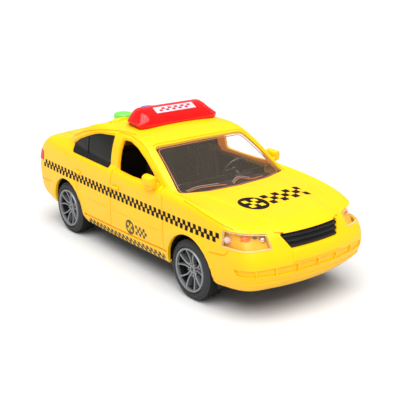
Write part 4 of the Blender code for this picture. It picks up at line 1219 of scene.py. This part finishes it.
def dashboard():
    section = [(30.0, 40.5), (49.6, 40.5), (50.6, 52.4), (47.5, 53.7), (44.0, 54.2), (36.0, 54.7),
               (32.2, 54.1), (30.4, 52.0), (29.9, 49.0)]
    rings = []
    for y in (-38.6, -30.0, -12.0, 0.0, 12.0, 30.0, 38.6):
        s = 0.94 if abs(y) > 38 else 1.0
        rings.append([(40.0 + (x - 40.0) * s, y, 46.0 + (z - 46.0) * s) for x, z in section])
    main = bevel(loft("dash_panel", rings), 0.5, 2, 40)
    finish(main, "cabin", replaces=["dashboard"], angle=35)
    hood = []
    for y, r in ((12.4, 0.3), (13.4, 1.0), (20.0, 1.3), (26.6, 1.0), (27.6, 0.3)):
        arch = [(30.6 + 4.2 * t, y, 54.4 + 2.0 * r * math.sin(math.pi * t)) for t in np.linspace(0, 1, 7)]
        hood.append(arch + [(34.8, y, 53.4), (30.6, y, 53.4)])
    finish(loft("dial_hood", hood), "cabin", angle=50)
    vents = []
    for y in (-31.0, -7.0, 5.5, 33.0):
        for z in (48.6, 49.9, 51.2):
            vents.append(box("part", (29.5, y - 3.2, z), (30.3, y + 3.2, z + 0.6)))
    finish(join("dash_vents", vents), "black", angle=30)
    dial = [(0, -0.3), (2.3, -0.3), (2.3, 0.3), (1.9, 0.3), (1.8, 0.0), (0, 0.0)]
    for number, y in enumerate((17.2, 22.8), 1):
        finish(lathe(f"dial_{number}", dial, 28, "X", (30.1, y, 50.6)), "chrome", angle=30)


WHEEL_AT = Vector((24.4, 20.0, 57.0))
WHEEL_TILT = math.radians(-62)


def steering_wheel():
    """Rim, hub, column and three spokes, turned about the raked column."""
    parts = [
        lathe("part", circle((9.15, 0.0), 0.78, 12), 48, "Z"),
        lathe("part", [(0, -1.0), (2.4, -1.0), (2.8, -0.6), (2.8, 0.7), (2.2, 1.1), (0, 1.2)], 28, "Z"),
        lathe("part", [(0, -5.2), (1.2, -5.2), (1.2, -0.8), (0, -0.8)], 16, "Z"),
    ]
    for a in (math.radians(degrees) for degrees in (0, 180, 270)):
        out, across = Vector((math.cos(a), math.sin(a), 0)), Vector((-math.sin(a), math.cos(a), 0))
        rings = []
        for r, w, h in ((2.0, 1.6, 0.5), (5.0, 1.1, 0.4), (8.8, 0.9, 0.4)):
            corners = ((w, -h), (w, h), (-w, h), (-w, -h))
            rings.append([out * r + across * s + Vector((0, 0, z)) for s, z in corners])
        parts.append(bevel(loft("part", rings), 0.2, 2, 30))
    obj = join("wheel_and_column", parts)
    obj.data.transform(Matrix.Translation(WHEEL_AT * MM) @ Matrix.Rotation(WHEEL_TILT, 4, "Y"))
    finish(obj, "cabin_gloss", replaces=["steering_wheel"], angle=50)


# ---- wheels


SHOULDER_Y = 46.3
# profiles of a wheel on the car's left: radius from the axle and distance from the middle of the car
TREAD = [
    (13.35, 33.4), (14.6, 33.0), (16.4, 33.0), (17.5, 33.7), (18.05, 34.9),
    (18.2, 36.4), (18.2, 38.3), (17.75, 38.5), (17.75, 39.1), (18.2, 39.3),
    (18.2, 41.9), (17.75, 42.1), (17.75, 42.7), (18.2, 42.9),
    (18.2, 45.0), (17.95, SHOULDER_Y), (13.35, SHOULDER_Y),
]
SIDEWALL = [
    (13.35, SHOULDER_Y), (17.95, SHOULDER_Y), (17.35, 47.2), (16.9, 47.35), (16.75, 47.15), (16.5, 47.4),
    (15.9, 47.8), (15.2, 47.9), (15.05, 47.65), (14.4, 47.7), (14.0, 47.8), (13.8, 47.0), (13.35, 46.8),
]
BARREL = [(12.35, 34.5), (13.25, 34.5), (13.25, 47.9), (12.95, 48.35), (12.45, 48.4), (12.1, 48.15),
          (11.95, 47.4), (12.0, 46.6), (12.35, 46.3)]
HUB = [(0.0, 44.0), (2.6, 44.0), (2.5, 45.6), (2.1, 46.0), (1.4, 45.9), (1.2, 44.8), (0.0, 44.7)]
POCKET = [(1.56, 36.6), (4.2, 36.6), (4.6, 41.6), (12.3, 41.8), (12.3, 46.1), (11.9, 46.1), (11.6, 42.6),
          (3.4, 42.4), (3.2, 44.4), (0.0, 44.4), (0.0, 44.3), (1.56, 44.2)]
NUT = [(0, 44.0), (0.55, 44.0), (0.5, 45.9), (0, 46.0)]
SPOKES = [math.radians(90 + 72 * i) for i in range(5)]


def turned(name, profile, steps, side):
    """A profile turned about the axle, on one side of the car."""
    return lathe(name, [(r, side * y) for r, y in profile], steps)


def bar_along(angle, side, sections):
    """A bar outwards from the hub. A section is a radius, then pairs: across the bar, along the axle."""
    out = Vector((math.cos(angle), 0, math.sin(angle)))
    across = Vector((-math.sin(angle), 0, math.cos(angle)))
    rings = [[out * r + across * s + Vector((0, side * y, 0)) for s, y in corners] for r, corners in sections]
    return loft("part", rings)


def spoke(angle, lean, side):
    """One raised bar of a pair, from the hub to the rim."""
    sections = []
    for r, shift, half, top in ((1.6, 0.85, 0.45, 45.6), (5.8, 1.1, 0.45, 46.4), (8.8, 2.2, 0.5, 47.1),
                                (12.2, 4.2, 0.6, 47.8)):
        outline = ((-1.2, 43.6), (1.2, 43.6), (1, top - 0.25), (0.45, top), (-0.45, top), (-1, top - 0.25))
        sections.append((r, [(lean * shift + half * share, y) for share, y in outline]))
    return bar_along(angle, side, sections)


def web(angle, side):
    """The thin wall between the two bars of a pair, near the hub."""
    rows = ((2.0, 0.9, 44.6), (5.4, 0.9, 44.8), (6.4, 0.2, 44.6))
    return bar_along(angle, side, [(r, ((-w, 44.3), (w, 44.3), (w, y), (-w, y))) for r, w, y in rows])


def road_wheel(name, side, x, body):
    def fit(obj, look, angle, replaces=()):
        obj.data.transform(Matrix.Translation(Vector((x, 0, AXLE_Z)) * MM))
        finish(obj, look, body, angle, replaces)

    # the tread's darker rubber is painted shade
    fit(turned("tread_" + name, TREAD, 72, side), "tread", 40, ["tyre_" + name])
    fit(turned("sidewall_" + name, SIDEWALL, 72, side), "rubber", 40)
    parts = [turned("part", BARREL, 60, side)]
    for angle in SPOKES:
        parts += [spoke(angle, -1, side), spoke(angle, 1, side), web(angle, side)]
    parts.append(turned("part", HUB, 36, side))
    fit(join("spokes_" + name, parts), "silver", 38, ["rim_" + name])
    fit(turned("pocket_" + name, POCKET, 48, side), "pocket", 35)
    nuts = []
    for angle in SPOKES:
        a = angle + math.radians(36)
        nut = turned("part", NUT, 12, side)
        nut.data.transform(Matrix.Translation(Vector((3.9 * math.cos(a), 0, 3.9 * math.sin(a))) * MM))
        nuts.append(nut)
    fit(join("nuts_" + name, nuts), "silver", 40)


def wheel_wells():
    """Dark linings over the wheels, behind the arches."""
    for place, x, end in (("front", FRONT_X, 180), ("rear", REAR_X, 174)):
        arc = [math.radians(a) for a in range(0, end + 1, 6)]
        outline = [(x + 21.3 * math.cos(a), AXLE_Z + 21.3 * math.sin(a)) for a in arc]
        outline += [(x + 20.7 * math.cos(a), AXLE_Z + 20.7 * math.sin(a)) for a in reversed(arc)]
        for side, tag in SIDES:
            low, high = sorted((side * 31.0, side * 46.6))
            finish(prism("wheel_well_" + place + "_" + tag, outline, low, high, "Y"), "black", angle=40)


def wheels():
    wheel_wells()
    for place, x in (("front", FRONT_X), ("rear", REAR_X)):
        for side, tag in SIDES:
            road_wheel(place + "_" + tag, side, x, place + "_wheels")


# ---- CAD nodes that stay

KEPT = {
    "black": ("chassis", "battery_cover", "gearbox_case_right", "gearbox_case_left", "speaker",
              "switch_green", "switch_blue", "switch_orange"),
    "board": ("button_board", "sound_board"),
    "gear": ("axle_gear", "first_gear", "second_gear"),
    "steel": ("front_axle", "rear_axle", "flywheel", "flywheel_pinion", "flywheel_shaft", "first_gear_shaft",
              "second_gear_shaft", "battery_cover_screw", "gearbox_screw_right", "gearbox_screw_left",
              "body_screw_front_right", "body_screw_front_left", "body_screw_rear_right",
              "body_screw_rear_left", "button_cell_1", "button_cell_2", "button_cell_3"),
}


def kept_nodes():
    for look, names in KEPT.items():
        for name in names:
            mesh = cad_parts[name].data
            mesh.materials.clear()
            mesh.materials.append(LOOKS[look])
            for face in mesh.polygons:
                face.material_index = 0


def underside():
    """Long ribs along and across the floor, and short ones on the battery door."""
    ribs = [box("part", (x - 0.5, -38.0, 12.5), (x + 0.5, 38.0, 13.3)) for x in (-24.5, 30.5)]
    ribs += [box("part", (-54.0, y - 0.5, 12.5), (44.0, y + 0.5, 13.3)) for y in (-39.0, 39.0)]
    ribs += [box("part", (x, -30.0, 12.6), (x + 0.8, -18.0, 13.2)) for x in (-14.0, -9.0, -4.0, 1.0, 6.0)]
    for obj in ribs:
        bevel(obj, 0.2, 2, 30)
    finish(join("underside_ribs", ribs), "black", angle=40)


# ---- camera, light and floor

AZIMUTH, ELEVATION, ROLL = 53.1286, 18.0584, -0.4546
TARGET = Vector((13.451, 0.0, 37.484))
DISTANCE, LENS = 536.905, 74.35


def camera():
    a, e, r = math.radians(AZIMUTH), math.radians(ELEVATION), math.radians(ROLL)
    back = Vector((math.sin(a) * math.cos(e), -math.cos(a) * math.cos(e), math.sin(e)))
    right = Vector((math.cos(a), math.sin(a), 0))
    up = back.cross(right)
    turned_right = right * math.cos(r) + up * math.sin(r)
    turned_up = up * math.cos(r) - right * math.sin(r)
    data = bpy.data.cameras.new("camera")
    data.lens = LENS
    data.sensor_width = 36.0
    data.clip_start = 0.01
    data.clip_end = 50
    obj = obj_of("camera", data)
    matrix = Matrix((turned_right, turned_up, back)).transposed().to_4x4()
    matrix.translation = (TARGET + back * DISTANCE) * MM
    obj.matrix_world = matrix
    bpy.context.scene.camera = obj


WORLD, TOP, FRONT = 0.4, 4.5, 0.15


def sun(name, towards, spread, strength):
    """Broad, even light from one direction, like a large softbox far away."""
    data = bpy.data.lights.new(name, "SUN")
    data.angle = math.radians(spread)
    data.energy = strength
    obj = obj_of(name, data)
    obj.rotation_euler = Vector(towards).to_track_quat("Z", "Y").to_euler()


def studio():
    bm = bmesh.new()
    bmesh.ops.create_grid(bm, x_segments=8, y_segments=8, size=9.0)
    mesh = bpy.data.meshes.new("floor")
    bm.to_mesh(mesh)
    bm.free()
    floor = obj_of("floor", mesh)
    paper = material("floor_paper", (0.68, 0.68, 0.68), 0.9, grain=60, bump=0.02, mottle=0.0)
    floor.data.materials.append(paper)
    world = bpy.data.worlds.new("studio")
    bpy.context.scene.world = world
    world.use_nodes = True
    shade = world.node_tree.nodes["Background"]
    shade.inputs["Color"].default_value = (1, 1, 1, 1)
    shade.inputs["Strength"].default_value = WORLD
    sun("top_light", (0.25, -0.2, 1.0), 70, TOP)
    sun("front_light", (0.8, -0.75, 0.55), 50, FRONT)
    bpy.context.scene.view_settings.view_transform = "Standard"


for build in (body_shell, glazing, lamps, grille, handles, nose_details, mirrors, marks, light_bar, bar_label,
              buttons, cabin, wheels, kept_nodes, underside):
    build()
drop(SURFACE)
camera()
studio()
